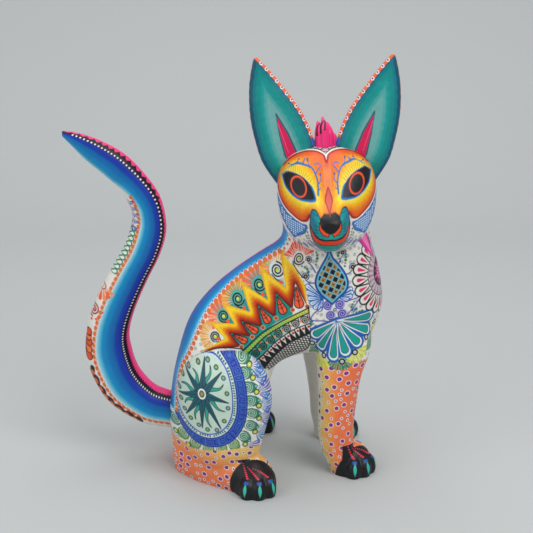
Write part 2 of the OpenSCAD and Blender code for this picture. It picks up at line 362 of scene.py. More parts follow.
def carved(name, forms, grain, rounds):
    """Overlapping forms run into one smooth body. grain is the size of its mesh in mm."""
    obj = joined(name, forms)
    skin = obj.modifiers.new("skin", "REMESH")
    skin.mode = "VOXEL"
    skin.voxel_size = grain / 1000
    rub = obj.modifiers.new("rub", "SMOOTH")
    rub.factor = 0.5
    rub.iterations = rounds
    split = obj.modifiers.new("split", "SUBSURF")
    split.levels = 1
    split.render_levels = 1
    bake(obj)
    return obj


def combine(obj, tool, how, keep=False):
    """Cuts obj with tool, or keeps only what they share, or joins them."""
    cut = obj.modifiers.new("cut", "BOOLEAN")
    cut.operation = how
    cut.solver = "MANIFOLD"
    cut.object = tool
    bake(obj)
    if not keep:
        remove(tool)


def copied(obj, name):
    return placed(name, obj.data.copy())


def peg_hole(node):
    """A tool for the hole round a dowel: the dowel's own mesh, larger by the glue gap."""
    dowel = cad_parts[node]
    tool = copied(dowel, "hole")
    work = bmesh.new()
    work.from_mesh(tool.data)
    work.transform(dowel.matrix_world)
    bmesh.ops.remove_doubles(work, verts=work.verts, dist=1e-6)
    work.to_mesh(tool.data)
    work.free()
    low, high = [np.array(corner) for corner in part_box(node)]
    middle = (low + high) / 2
    co = np.array([v.co for v in tool.data.vertices])
    co = middle + (co - middle) * (1 + 2 * GAP / 1000 / (high - low).min())
    tool.data.vertices.foreach_set("co", co.ravel().astype(np.float32))
    turn_outward(tool)
    return tool


# ---------------------------------------------------------------- pieces


def paw_forms(name):
    x, forward, way = PAWS[name]
    stand = moved(x, forward, 0) @ turn(way, "Z")
    forms = []
    for toe in (-TOE_TURN, 0, TOE_TURN):
        tip = ((0, PAW_W * 0.36, PAW_H * 0.22), (PAW_W * 0.19, PAW_W * 0.21, PAW_H * 0.42))
        knuckle = ((0, PAW_W * 0.1, PAW_H * 0.4), (PAW_W * 0.2, PAW_W * 0.2, PAW_H * 0.46))
        forms.append(hulled("toe", [tip, knuckle], stand @ turn(toe, "Z")))
    pad = ((0, -PAW_W * 0.02, PAW_H * 0.2), (PAW_W * 0.47, PAW_W * 0.47, PAW_H * 0.8))
    forms.append(hulled("pad", [pad], stand))
    return forms


def make_core():
    """Trunk, neck, head and front legs as one body, before the joints are sawn."""
    forms = [
        lofted("trunk", TRUNK),
        lofted("head", HEAD, 2.5, 0.07, head_frame()),
        lofted("leg", FRONT_RIGHT),
        lofted("leg", FRONT_LEFT),
    ]
    forms += paw_forms("front_right") + paw_forms("front_left")
    return carved("core", forms, CORE_GRAIN, CORE_ROUNDS)


def make_haunch(name, trunk):
    """A thigh and foot as one body, cut along the middle and to fit the trunk."""
    rounds = [
        ((0, -7, 73), (26, 37, 47)),
        ((0, 17, 83), (20, 29, 38)),
        ((0, -3, 46), (25, 39, 42)),
    ]
    (x, forward, way), line = HIND_LEGS[name]
    forms = [hulled("thigh", rounds, moved(x, forward, 0) @ turn(way, "Z"))]
    for a, b in zip(line, line[1:]):
        ends = [((s[0], s[1], s[2] * 0.3), (s[3] / 2, s[3] / 2, s[2] * 0.7)) for s in (a, b)]
        forms.append(hulled("foot", ends))
    leg = carved(name + "_haunch", forms + paw_forms(name), CORE_GRAIN, CORE_ROUNDS)
    near, far = (GAP / 2, 200) if x > 0 else (-200, -GAP / 2)
    combine(leg, box("half", (near, -200, 0), (far, 200, 200)), "INTERSECT")
    combine(leg, trunk, "DIFFERENCE", keep=True)
    return leg


def ear_tenon(side, grow, top):
    """An ear's tenon, or the tool for its socket, which is larger by grow."""
    wide, thick, deep = EAR_TENON
    low = (-wide - grow, -thick - grow, -deep - grow)
    return box("tenon", low, (wide + grow, thick + grow, top), ear_frame(side))


def make_ear(name, side, head):
    """An ear with its dish, its foot cut to the head, and its tenon."""
    stand = ear_frame(side)
    leaf = lofted("leaf", EAR, frame_of=stand, steps=6, around=64)
    dish = [
        ((0, 11.25, 8), (18.4, 5.5, 14)),
        ((0.5, 11.25, 34), (17.0, 5.5, 20)),
        ((1.5, 9, 70), (6.0, 4.5, 14)),
    ]
    combine(leaf, hulled("dish", dish, stand), "DIFFERENCE")
    ear = carved(name, [leaf], 0.7, 5)
    combine(ear, head, "DIFFERENCE", keep=True)
    combine(ear, ear_tenon(side, 0, 4), "UNION")
    return ear


def make_crest(head, ears):
    """A tuft of four carved locks on a square peg."""
    locks = [(-5, 0, 25), (-1, 2, 29), (3, 0, 24), (6, -2, 16)]
    stand = head_frame() @ moved(*CREST_ROOT)
    forms = []
    for x, forward, tip in locks:
        foot = ((x * 0.8, forward, 2), (5, 8, 7))
        middle = ((x, forward, tip * 0.62), (4, 5.5, 6))
        end = ((x - 1, forward - 2, tip), (1, 1, 1))
        forms.append(hulled("lock", [foot, middle, end], stand))
    crest = carved("crest_tuft", forms, 0.5, 4)
    for tool in [head] + ears:
        combine(crest, tool, "DIFFERENCE", keep=True)
    combine(crest, box("peg", (-2, -2, -12), (2, 2, 6), stand), "UNION")
    return crest


def tail_line():
    """The tail's stations with its root brought to the seat."""
    return [(TAIL[0][0], -TAIL_SEAT, 65, -TAIL_SEAT, 32, 28)] + TAIL[1:]


def tail_tenon(grow, past):
    """The tail's tenon, or the tool for its mortise, which is larger by grow."""
    wide, deep, tall = TAIL_TENON
    low = (TAIL[0][0] - wide - grow, TAIL_SEAT - deep - grow, TAIL_ROOT_Z - tall - grow)
    high = (TAIL[0][0] + wide + grow, TAIL_SEAT + past, TAIL_ROOT_Z + tall + grow)
    return box("tenon", low, high)


def make_tail():
    """The tail on the fox's frame, its root flat on the seat, and its tenon."""
    tail = lofted("tail_curve", tail_line(), steps=TAIL_STEPS, around=TAIL_AROUND)
    combine(tail, tail_tenon(0, 4), "UNION")
    return tail


def tail_pocket():
    """The tool for the tail's seat and mortise in the rump."""
    seat = [(6, -TAIL_SEAT - deep, 66, -TAIL_SEAT - deep, 31, 30) for deep in (0, 20)]
    tool = lofted("seat", seat, steps=1)
    combine(tool, tail_tenon(GAP, 6), "UNION")
    return tool


def saw(core):
    """Cuts the core at its joints. It stays the trunk, and the head and lower legs come off."""
    slope = moved(*NECK_AXIS, NECK_JOINT_Z) @ turn(-NECK_JOINT_SLOPE, "Y")
    above = box("above", (-200, -200, 0), (200, 200, 200), slope)
    below = box("below", (-100, -140, 0), (120, -22, ELBOW_Z))
    under = box("under", (-100, -140, -60), (120, -22, ELBOW_Z))
    left_side = box("left_side", (20, -200, -30), (200, 0, 200))
    head = copied(core, "head_carving")
    combine(head, above, "INTERSECT", keep=True)
    left = copied(core, "front_left_paw")
    combine(left, below, "INTERSECT")
    right = copied(left, "front_right_paw")
    combine(left, left_side, "INTERSECT", keep=True)
    combine(right, left_side, "DIFFERENCE")
    combine(core, above, "DIFFERENCE")
    combine(core, under, "DIFFERENCE")
    core.name = "trunk_carving"
    return head, right, left


def make_pieces():
    """Every visible wooden piece, by the name of the CAD node that it replaces."""
    trunk = make_core()
    head, right, left = saw(trunk)
    ears = [make_ear("left_ear_leaf", 1, head), make_ear("right_ear_leaf", -1, head)]
    crest = make_crest(head, ears)
    for side in (1, -1):
        combine(head, ear_tenon(side, GAP, 8), "DIFFERENCE")
    pieces = {
        "torso": trunk,
        "head": head,
        "left_ear": ears[0],
        "right_ear": ears[1],
        "crest": crest,
        "tail": make_tail(),
        "front_right_leg": right,
        "front_left_leg": left,
        "hind_right_leg": make_haunch("hind_right", trunk),
        "hind_left_leg": make_haunch("hind_left", trunk),
    }
    for node in DOWELS:
        holder = "head" if node == "neck_dowel" else node.replace("dowel", "leg")
        combine(trunk, peg_hole(node), "DIFFERENCE")
        combine(pieces[holder], peg_hole(node), "DIFFERENCE")
    combine(trunk, tail_pocket(), "DIFFERENCE")
    return pieces


# ---------------------------------------------------------------- paint

HUES = {
    "white": "E6E3DA",
    "black": "141418",
    "pink": "F0387F",
    "magenta": "D81A56",
    "rose": "E9A9BE",
    "ink": "1D4E9E",
    "orange": "EE5F26",
    "ochre": "B4893F",
    "coral": "EE7048",
    "yellow": "E6C21E",
    "lime": "BFD83C",
    "vermilion": "EE5220",
    "teal": "128F88",
    "green": "2E7F62",
    "pale_green": "C3D8C8",
    "plum": "7A2482",
    "wood": "C9A46C",
}
EDGE = 0.2


def hue(colour):
    """A named or given sRGB colour as linear light."""
    if not isinstance(colour, str):
        return np.asarray(colour)
    code = HUES.get(colour, colour)
    s = np.array([int(code[i : i + 2], 16) for i in (0, 2, 4)]) / 255
    return np.where(s < 0.04045, s / 12.92, ((s + 0.055) / 1.055) ** 2.4)


def shades(value, stops):
    """Colours for an array of values, from (value, colour) stops in rising order."""
    at = [s[0] for s in stops]
    colours = np.array([hue(s[1]) for s in stops])
    return np.stack([np.interp(value, at, colours[:, k]) for k in range(3)], axis=-1)


def soft(depth):
    """Cover of a brush mark from the depth inside its edge, in mm."""
    return np.clip(depth / (2 * EDGE) + 0.5, 0, 1)


def blended(under, over, cover):
    """Colours laid over others, with a cover from 0 to 1 for each point."""
    cover = cover[:, None]
    return under * (1 - cover) + over * cover


def trig(degrees):
    return math.cos(math.radians(degrees)), math.sin(math.radians(degrees))


def between(a, b, share):
    """A place part of the way from one place to another."""
    return a[0] + (b[0] - a[0]) * share, a[1] + (b[1] - a[1]) * share


def heading(a, b):
    """The direction from one place to another, in degrees."""
    return math.degrees(math.atan2(b[1] - a[1], b[0] - a[0]))


def curve(points, steps=6):
    """A smooth line through some places."""
    return [tuple(p) for p in refined(points, steps)]


def polar(centre, radius, degrees):
    c, s = trig(degrees)
    return centre[0] + radius * c, centre[1] + radius * s


def measured(u, v, line):
    """Distance of points from a line of segments, and how far along it the nearest place is."""
    best = np.full(len(u), 1e9)
    along = np.zeros(len(u))
    start = 0.0
    for a, b in zip(line[:-1], line[1:]):
        run = math.hypot(b[0] - a[0], b[1] - a[1])
        if run < 1e-9:
            continue
        du, dv = (b[0] - a[0]) / run, (b[1] - a[1]) / run
        t = np.clip((u - a[0]) * du + (v - a[1]) * dv, 0, run)
        d = np.hypot(u - a[0] - t * du, v - a[1] - t * dv)
        nearer = d < best
        best[nearer] = d[nearer]
        along[nearer] = start + t[nearer]
        start += run
    return best, along


def inside(u, v, outline):
    odd = np.zeros(len(u), bool)
    for a, b in zip(outline, list(outline[1:]) + [outline[0]]):
        spans = (a[1] > v) != (b[1] > v)
        if a[1] == b[1]:
            continue
        odd ^= spans & (u < (b[0] - a[0]) * (v - a[1]) / (b[1] - a[1]) + a[0])
    return odd


def depth_in(u, v, outline):
    """Depth inside a closed outline, negative outside it."""
    d, _ = measured(u, v, list(outline) + [outline[0]])
    return np.where(inside(u, v, outline), d, -d)


def spaced(line, gap, start=0.0):
    """Places along a line at an even gap, each with the line's direction in degrees."""
    line = np.array(line, float)
    steps = np.hypot(*np.diff(line, axis=0).T)
    reach = np.concatenate([[0], np.cumsum(steps)])
    places = []
    for s in np.arange(start, reach[-1], gap):
        i = min(np.searchsorted(reach, s, side="right") - 1, len(steps) - 1)
        t = (s - reach[i]) / max(steps[i], 1e-9)
        p = line[i] + (line[i + 1] - line[i]) * t
        places.append((p[0], p[1], heading(line[i], line[i + 1])))
    return places


class Coat:
    """Paint on points that have places (u, v), in mm, on a flat chart."""

    def __init__(self, u, v, ground="white"):
        self.u, self.v = u, v
        self.rgb = np.tile(hue(ground), (len(u), 1))
        self.order = np.argsort(u)
        self.sorted_u = u[self.order]

    def near(self, low, high):
        first, last = np.searchsorted(self.sorted_u, (low[0] - EDGE, high[0] + EDGE))
        some = self.order[first:last]
        v = self.v[some]
        return some[(v > low[1] - EDGE) & (v < high[1] + EDGE)]

    def round_points(self, points, reach):
        points = np.array(points, float)
        return self.near(points.min(0) - reach, points.max(0) + reach)

    def area(self, outline, reach=1.0):
        """The points round an outline, their places, and their depths inside it."""
        some = self.round_points(outline, reach)
        u, v = self.u[some], self.v[some]
        return some, u, v, depth_in(u, v, outline)

    def lay(self, some, cover, colour):
        self.rgb[some] = blended(self.rgb[some], hue(colour), cover)

    def dot(self, place, radius, *colours):
        """Rings of colour from the outside in, each a colour and its share of the radius."""
        some = self.round_points([place[:2]], radius)
        d = np.hypot(self.u[some] - place[0], self.v[some] - place[1])
        for i, colour in enumerate(colours):
            share = 1 - i / len(colours)
            self.lay(some, soft(radius * share - d), colour)

    def oval(self, place, length, width, way, colour):
        some = self.round_points([place[:2]], max(length, width) / 2)
        c, s = trig(way)
        du, dv = self.u[some] - place[0], self.v[some] - place[1]
        a, b = (du * c + dv * s) * 2 / length, (dv * c - du * s) * 2 / width
        self.lay(some, soft((1 - np.hypot(a, b)) * min(length, width) / 2), colour)

    def stroke(self, points, width, colour, end=None):
        """A brush line. end is its width at the far end, where that differs."""
        end = width if end is None else end
        some = self.round_points(points, max(width, end) / 2)
        d, along = measured(self.u[some], self.v[some], points)
        total = sum(math.dist(a, b) for a, b in zip(points[:-1], points[1:]))
        half = (width + (end - width) * along / max(total, 1e-6)) / 2
        self.lay(some, soft(half - d), colour)

    def patch(self, outline, colour, grow=0.0):
        some, _, _, depth = self.area(outline, max(grow, 0))
        self.lay(some, soft(depth + grow), colour)

    def drop(self, root, tip, width, colour, grow=0.0):
        """A petal, pointed at its root and round at its tip."""
        some = self.round_points([root, tip], width + grow)
        run = math.dist(root, tip)
        du, dv = (tip[0] - root[0]) / run, (tip[1] - root[1]) / run
        t = (self.u[some] - root[0]) * du + (self.v[some] - root[1]) * dv
        off = np.abs((self.v[some] - root[1]) * du - (self.u[some] - root[0]) * dv)
        middle = max(run - width / 2, 0.3 * run)
        swell = np.clip(t / middle, 0, 1) ** 0.8
        close = np.sqrt(np.clip(1 - ((t - middle) / (run - middle)) ** 2, 0, 1))
        half = width / 2 * np.where(t < middle, swell, close)
        depth = np.where((t > -grow) & (t < run + grow), half - off, -9)
        if grow:
            past = np.maximum(t - middle, 0) * width / 2 / (run - middle)
            depth = np.where(t > middle, width / 2 - np.hypot(past, off), depth)
        self.lay(some, soft(depth + grow), colour)

    def leaf(self, a, b, width, colour):
        """A leaf, pointed at both ends."""
        some = self.round_points([a, b], width / 2)
        run = math.dist(a, b)
        du, dv = (b[0] - a[0]) / run, (b[1] - a[1]) / run
        t = ((self.u[some] - a[0]) * du + (self.v[some] - a[1]) * dv) / run
        off = np.abs((self.v[some] - a[1]) * du - (self.u[some] - a[0]) * dv)
        half = width / 2 * np.sin(np.pi * np.clip(t, 0, 1))
        self.lay(some, soft(np.where((t > 0) & (t < 1), half - off, -9)), colour)

    def fan(self, centre, near, far, first, last, count, width, colours):
        """Petals set out round a centre, their roots at one radius and their tips at another."""
        for i, way in enumerate(np.linspace(first, last, count)):
            root, tip = polar(centre, near, way), polar(centre, far, way)
            self.drop(root, tip, width, colours[i % len(colours)])

    def spiral(self, centre, radius, turns, width, colour, first=0.0):
        n = int(14 * turns)
        points = [polar(centre, radius * i / n, first + 360 * turns * i / n) for i in range(n + 1)]
        self.stroke(points, width, colour)

    def ring(self, centre, radius, width, colour):
        some = self.round_points([centre], radius + width)
        d = np.hypot(self.u[some] - centre[0], self.v[some] - centre[1])
        self.lay(some, soft(width / 2 - np.abs(d - radius)), colour)

    def beads(self, line, gap, radius, *colours, start=0.0):
        for place in spaced(line, gap, start):
            self.dot(place, radius, *colours)

    def specks(self, low, high, gap, colour, seed, size=0.36, reach=1.15):
        """Small stars of dots scattered over a part of the chart."""
        rng = np.random.default_rng(seed)
        for u in np.arange(low[0], high[0], gap):
            for v in np.arange(low[1], high[1], gap):
                place = (u + rng.uniform(0, 0.6) * gap, v + rng.uniform(0, 0.6) * gap)
                first = rng.uniform(0, 60)
                for k in range(6):
                    self.dot(polar(place, reach, first + 60 * k), size, colour)
                self.dot(place, size, colour)


# ---------------------------------------------------------------- the trunk's paintwork

BACK = [(s[1], s[2]) for s in TRUNK]
DOT_ROW = [
    (-72, 8),
    (-77, 40),
    (-77, 72),
    (-73, 98),
    (-65, 115),
    (-52, 144),
    (-39, 161),
    (-25, 174),
    (-8, 186),
    (8, 196),
    (16, 202),
    (20, 214),
    (19, 228),
    (18, 254),
]
RIDGE_SHIFT = 9.0
RIDGE_HALF = 4.5
FLAME_TIPS = [(-57, 117), (-49, 142), (-38, 157), (-22, 174), (-6, 187), (11, 200)]
FLAME_DIPS = [(-35, 130), (-27, 142), (-14, 152), (1, 162), (16, 172), (33, 172)]
FLAME_FEET = [(-21, 123), (-12, 131), (-3, 139), (8, 147), (22, 154), (34, 157)]
LEAF_TOPS = [(-30, 134), (-21, 144), (-7, 157), (8, 167), (24, 176)]
SPIRALS = [(-43, 131), (-36, 147), (-24, 161), (-6, 173), (9, 185)]
BAND_TOP = [(-20, 119.5), (-16, 123), (-4, 134), (12, 144), (24, 150), (36, 156)]
BAND_FOOT = [(-16, 116.5), (-12, 120), (-1, 131), (13, 140), (24, 146), (36.5, 152)]
ROW_FOOT = [(-9, 109), (-3, 114), (8, 126), (22, 136), (36.5, 142)]
TEETH_FOOT = [(-1, 100), (7, 111), (20, 124), (36, 132)]
HATCH_FOOT = [(2, 97), (13, 101), (24, 110), (34, 116), (37, 124)]
# Colours of the back's bands by share of the way from the ridge to the row of orange dots
STRIPE = [
    (0.0, "1238A8"),
    (0.1, "0648A8"),
    (0.24, "0260B2"),
    (0.42, "0278BE"),
    (0.56, "0A90CC"),
    (0.68, "4FB0DC"),
    (0.8, "B4DDEA"),
    (0.9, "white"),
]


def follow(outer, inner, share):
    """A line part of the way from one line to another, both with as many points."""
    return [between(a, b, share) for a, b in zip(outer, inner)]


def paint_back(coat, x):
    """The bands that follow the back's ridge, and the row of orange dots beside them."""
    back, row = curve(BACK, 4), curve(DOT_ROW, 4)
    depth, along = measured(coat.u, coat.v, back)
    from_row, _ = measured(coat.u, coat.v, row)
    outside = (depth < 18) & ~inside(coat.u, coat.v, row + [(90, 254), (90, 8)])
    ridge = np.interp(coat.v, [s[2] for s in TRUNK], [s[0] for s in TRUNK]) + RIDGE_SHIFT
    off = x - ridge
    teeth = 1.2 * np.abs((along / 2.4) % 1 - 0.5)
    past = np.maximum(np.abs(off) - RIDGE_HALF + teeth, 0) * np.where(off > 0, 0.6, 0.3)
    share = (past + depth) / (past + depth + 1.9 * from_row + 1e-6)
    coat.rgb[outside] = shades(share[outside], STRIPE)
    pink = outside & (np.abs(off) < RIDGE_HALF - teeth) & (depth < 6)
    coat.rgb[pink] = hue("pink")
    for u, v, way in spaced(row, 4.9):
        size = 1.0 if v < 200 else 0.6
        coat.oval((u, v), 4.0 * size, 3.3 * size, way, "F0602A")
        coat.dot((u, v), 0.9 * size, "B4893F")
    for u, v, way in spaced(row, 4.9, 2.45):
        coat.dot(polar((u, v), 1.7, way + 90), 0.5, "ink")


FLAME_SHADES = [
    (0.0, "E0A214"),
    (0.1, "F2CE14"),
    (0.24, "EEBC10"),
    (0.36, "E08F0E"),
    (0.5, "D2640E"),
    (0.66, "BE3A0E"),
    (0.84, "8A1E10"),
    (1.0, "4E100E"),
]


def paint_flames(coat):
    """Eight bands of colour between the flames' tips and the leaves' tops."""
    outer = [place for pair in zip(FLAME_TIPS, FLAME_DIPS) for place in pair]
    outer[-1:] = [(20, 196), (28, 187), (33, 172), FLAME_FEET[-1]]
    inner = [FLAME_TIPS[0], (-44, 121.5), FLAME_FEET[0]]
    inner += [place for pair in zip(LEAF_TOPS, FLAME_FEET[1:]) for place in pair]
    some, u, v, depth = coat.area(outer + inner[::-1])
    from_outer, along = measured(u, v, outer)
    from_inner, _ = measured(u, v, inner)
    share = from_outer / (from_outer + from_inner + 1e-6) + 0.02 * np.sin(along * 2.1)
    steps = np.floor(share * 8) / 8
    share = 0.35 * share + 0.65 * (steps + np.clip((share * 8 % 1 - 0.7) / 0.3, 0, 1) / 8)
    coat.lay(some, soft(depth), shades(share, FLAME_SHADES))
    for top, left, right in zip(LEAF_TOPS, FLAME_FEET, FLAME_FEET[1:]):
        coat.stroke([left, top, right], 0.9, "20100E")


def paint_gap_motifs(coat):
    """The comb fans and spirals in the gaps between the flames."""
    sizes = (4.2, 4.8, 5.3, 5.5, 5.9)
    for i, (centre, dip, r) in enumerate(zip(SPIRALS, FLAME_DIPS, sizes)):
        way = heading(dip, centre)
        colours = ["EE6038", "F08A62"] if i % 2 else ["DDA040", "E8B060"]
        coat.fan(centre, r + 0.2, r + 9.4, way - 72, way + 76, 13, 2.5, colours)
        coat.dot(centre, r + 0.8, "D4DED8" if i in (0, 4) else "4FA89C")
        coat.spiral(centre, r, 2.6, 1.25, "black", first=40 + 50 * i)
        coat.dot(centre, 1.3, "C8D83C")
        end = polar(dip, 4.5, way)
        tail = [polar(centre, r, way + 100), polar(centre, r + 1.4, way + 150), end]
        coat.stroke(curve(tail), 0.9, "black")
        coat.dot(polar(end, 1.6, way + 60), 1.5, "vermilion")


def paint_leaves(coat):
    """The veined leaves under the flames, and the dots between them."""
    for i, (top, left, right) in enumerate(zip(LEAF_TOPS, FLAME_FEET, FLAME_FEET[1:])):
        ground = [left, top, right, (right[0], right[1] - 4), (left[0], left[1] - 4)]
        coat.patch(ground, "teal" if i < 4 else "white")
        middle = between(left, right, 0.5)
        root, tip = between(top, middle, 0.18), between(top, middle, 0.98)
        width = math.dist(root, tip) * 0.42
        coat.drop(root, tip, width, "black", 0.9)
        coat.drop(root, tip, width, "F2603A")
        coat.stroke([root, tip], 0.7, "5A120C")
        way = heading(tip, root)
        for knot in (between(root, tip, 0.5), between(root, tip, 0.72)):
            for aside in (-38, 38):
                coat.stroke([knot, polar(knot, width * 0.42, way + aside)], 0.6, "5A120C")
    for foot in FLAME_FEET:
        coat.dot(foot, 2.0, "F0A060", "4A1A4A", "vermilion")


def paint_spiral_row(coat):
    """The row of spirals under the green band."""
    row = BAND_FOOT + ROW_FOOT[::-1]
    coat.patch(row, "white")
    some, u, _, depth = coat.area(row)
    fade = shades(u, [(-12, "238F80"), (8, "4FA99B"), (20, "D5DDD5"), (30, "white")])
    coat.lay(some, soft(depth), fade)
    for u0, v0, way in spaced(follow(BAND_FOOT, [ROW_FOOT[0]] + ROW_FOOT, 0.5), 8.4, 5):
        at = (u0, v0)
        coat.spiral(at, 3.7, 2.4, 1.05, "black", first=way)
        coat.stroke([polar(at, 3.7, way + 20), polar(at, 5.8, way + 48)], 0.9, "black")
        coat.dot(polar(at, 4.8, way + 5), 1.1, "EE8A3A")
        coat.dot(polar(at, 5.0, way + 75), 0.9, "EE8A3A")


def paint_green_band(coat):
    some, u, _, depth = coat.area(BAND_TOP + BAND_FOOT[::-1])
    stops = [(-16, "2F9A5A"), (0, "2A8A68"), (14, "5FB070"), (26, "C8D05A"), (36, "D8D890")]
    coat.lay(some, soft(depth), shades(u, stops))
    for u, v, way in spaced(follow(BAND_TOP, BAND_FOOT, 0.5), 2.5, 1.0):
        coat.oval((u, v), 1.9, 2.4, way, "D6DE38")
        coat.dot((u, v), 0.5, "3F7A30")


def paint_teeth(coat):
    coat.patch(ROW_FOOT + TEETH_FOOT[::-1], "black", 0.8)
    for u, v, way in spaced(ROW_FOOT, 4.9, 1.0):
        tooth = [polar((u, v), 2.1, way), polar((u, v), -2.1, way), polar((u, v), 7.4, way - 94)]
        coat.patch(tooth, "white")
        coat.dot(polar((u, v), 2.2, way - 90), 1.15, "B8252A")


def paint_crosshatch(coat):
    hatched = TEETH_FOOT + HATCH_FOOT[::-1]
    coat.patch(hatched, "white")
    some, u, v, depth = coat.area(hatched)
    for way in (20, 78):
        c, s = trig(way)
        off = np.abs(((u * c + v * s) / 2.3) % 1 - 0.5) * 2.3
        coat.lay(some, soft(depth) * soft(0.46 - off), "black")


def paint_bands(coat):
    """The bands under the flames, and the black lines between them."""
    paint_spiral_row(coat)
    paint_green_band(coat)
    paint_teeth(coat)
    paint_crosshatch(coat)
    for line in (BAND_TOP, BAND_FOOT):
        coat.stroke(curve(line), 1.2, "black")
    coat.stroke(curve(ROW_FOOT), 1.0, "black")
    coat.stroke(curve(HATCH_FOOT), 1.1, "black")
    coat.stroke([(35, 157), (37, 140), (37, 124)], 1.1, "black")


def paint_flank(coat, x):
    """The trunk's sides behind the chest, on a chart of forward and height."""
    coat.specks((-90, 90), (0, 124), 6.5, "4A545E", seed=3)
    coat.specks((-20, 40), (120, 60), 6.5, "4A545E", seed=4)
    coat.specks((-20, 196), (70, 262), 6.5, "4A545E", seed=5)
    behind = [(-53, 146), (-42, 160), (-26, 177), (-9, 190), (9, 199), (16, 172), (1, 162)]
    behind += [(-14, 152), (-27, 142), (-35, 130)]
    some, u, v, depth = coat.area(behind)
    place = (u + 56) * 0.74 + (v - 117) * 0.67
    strength = np.clip((place - 24) / 8, 0, 1) * np.clip((98 - place) / 12, 0, 1)
    coat.lay(some, soft(depth) * strength, "teal")
    paint_gap_motifs(coat)
    paint_flames(coat)
    paint_leaves(coat)
    paint_bands(coat)
    coat.stroke(curve([(-60, 113), (-46, 120.5), (-33, 122.5), (-20, 121)]), 1.1, "black")
    paint_back(coat, x)


# ---------------------------------------------------------------- the chest's paintwork

CHEST_R = 43.0


def chest_chart(points):
    """The neck and chest unrolled: round from the fox's side, towards its front, and up."""
    x, forward, z = points[:, 0], -points[:, 1], points[:, 2]
    middle = np.interp(z, [100, 150, 190, 205, 215, 227, 240], [8, 11, 12, 11, 9, 6, 4])
    return CHEST_R * np.arctan2(forward - 52, np.abs(x - middle)), z


def paint_drop(coat):
    """The blue drop of dark and golden tiles in the middle of the chest."""
    left = [(0, 204), (-2, 198), (-6.5, 190), (-10, 182), (-10.2, 175), (-6, 168), (3, 160)]
    right = [(3, 160), (9, 166), (14, 171), (15.6, 177), (13.5, 184), (8, 192), (2.5, 198), (0, 204)]
    some, u, v, depth = coat.area(curve(left) + curve(right)[1:-1], 3)
    coat.lay(some, soft(depth + 1.8), "0F4C94")
    coat.lay(some, soft(depth), "6FBAD2")
    c, s = trig(-24)
    cell = 4.7
    a, b = (u * c + v * s) / cell, (v * c - u * s) / cell
    from_edge = np.minimum(0.5 - np.abs(a % 1 - 0.5), 0.5 - np.abs(b % 1 - 0.5)) * cell
    dark = ((np.floor(a) + np.floor(b)) % 2 == 0)[:, None]
    middle = (np.hypot(a % 1 - 0.5, b % 1 - 0.5) * cell < 0.7)[:, None]
    colour = np.where(dark, hue("black"), np.where(middle, hue("3E1E12"), hue("A88038")))
    coat.lay(some, soft(depth - 1.2) * soft(from_edge - 0.36), colour)


def paint_chest_flower(coat):
    """The petals round a dark ring that wrap over the front of the chest."""
    centre, near, far = (56, 179), 20.5, 35.0
    ways = [62 + 17.2 * i for i in range(16)]
    for way in ways:
        coat.drop(polar(centre, near - 1, way), polar(centre, far, way), 8.6, "black", 0.9)
    for way in ways:
        coat.drop(polar(centre, near - 1, way), polar(centre, far - 0.3, way), 7.4, "white")
        coat.drop(polar(centre, near + 2, way), polar(centre, far - 3.4, way), 3.4, "E0336A")
    coat.dot(centre, near, "black")
    coat.dot(centre, near - 0.8, "C8B4BC")
    coat.fan(centre, 12.5, 19.2, 0, 345, 24, 2.4, ["4A4450", "7A7080"])
    coat.fan(centre, 14.5, 17.8, 0, 345, 24, 1.0, ["rose"])
    coat.dot(centre, 12.4, "black", "E8A0BC")
    coat.fan(centre, 2.5, 11.0, 15, 345, 12, 3.0, ["E23A80", "plum"])
    coat.dot(centre, 3.0, "black", "rose", "magenta")


def paint_green_rows(coat):
    """Curved rows of green dots that grow and shrink."""
    for row in (
        [(-13, 205), (-11, 199), (-12, 192)],
        [(-24, 190), (-19, 188), (-17, 181)],
        [(9, 208), (8, 201), (10, 195)],
        [(15, 204), (15, 198), (14, 191)],
        [(-17, 151), (-15, 146), (-11, 139), (-4, 134)],
        [(22, 160), (20, 155), (24, 150), (32, 151)],
        [(-22, 148), (-20, 140), (-16, 134)],
    ):
        for i, place in enumerate(spaced(curve(row), 2.6)):
            coat.dot(place, 0.8 + 0.18 * (i % 4), "green")


SHELL = (8, 144)
SHELL_TIPS = [(-14, 130), (-9, 116), (5, 108.5), (17, 113), (29, 121), (41, 131), (42, 144)]
# Middle and direction of each fan below the shell
FRINGE = [
    (-7, 113, 262),
    (11, 113, 272),
    (23, 119, 300),
    (38, 127.25, 318),
    (52, 134.95, 300),
    (-17, 124, 240),
]


def paint_shell(coat):
    """The teal shell low on the chest, with a fringe of fans below it."""
    for i, (u, v, way) in enumerate(FRINGE):
        colours = ["2F7A5C", "4E9070"] if i % 2 else ["C8CE3C", "DCDC60"]
        coat.fan((u, v), 2.0, 13.5, way - 56, way + 56, 11, 2.0, colours)
    for tip in SHELL_TIPS:
        coat.drop(SHELL, tip, 9.2, "1D5AA6", 2.4)
    for tip in SHELL_TIPS:
        coat.drop(SHELL, tip, 8.2, "2B6DB8", 1.0)
        coat.drop(SHELL, tip, 8.0, "E6EAE6", 0.4)
    for tip in SHELL_TIPS:
        coat.drop(between(SHELL, tip, 0.16), between(SHELL, tip, 0.96), 7.0, "0A4458")
        coat.drop(between(SHELL, tip, 0.22), between(SHELL, tip, 0.94), 5.9, "129A8E")
    for a, b in zip(SHELL_TIPS, SHELL_TIPS[1:]):
        coat.dot(between(SHELL, between(a, b, 0.5), 1.04), 1.1, "lime")
    for place in ((-4, 111), (13, 107.5), (24, 115), (36, 126), (49, 136), (-15, 123)):
        coat.dot(place, 2.7, "black", "black", "white", "3F98C8")


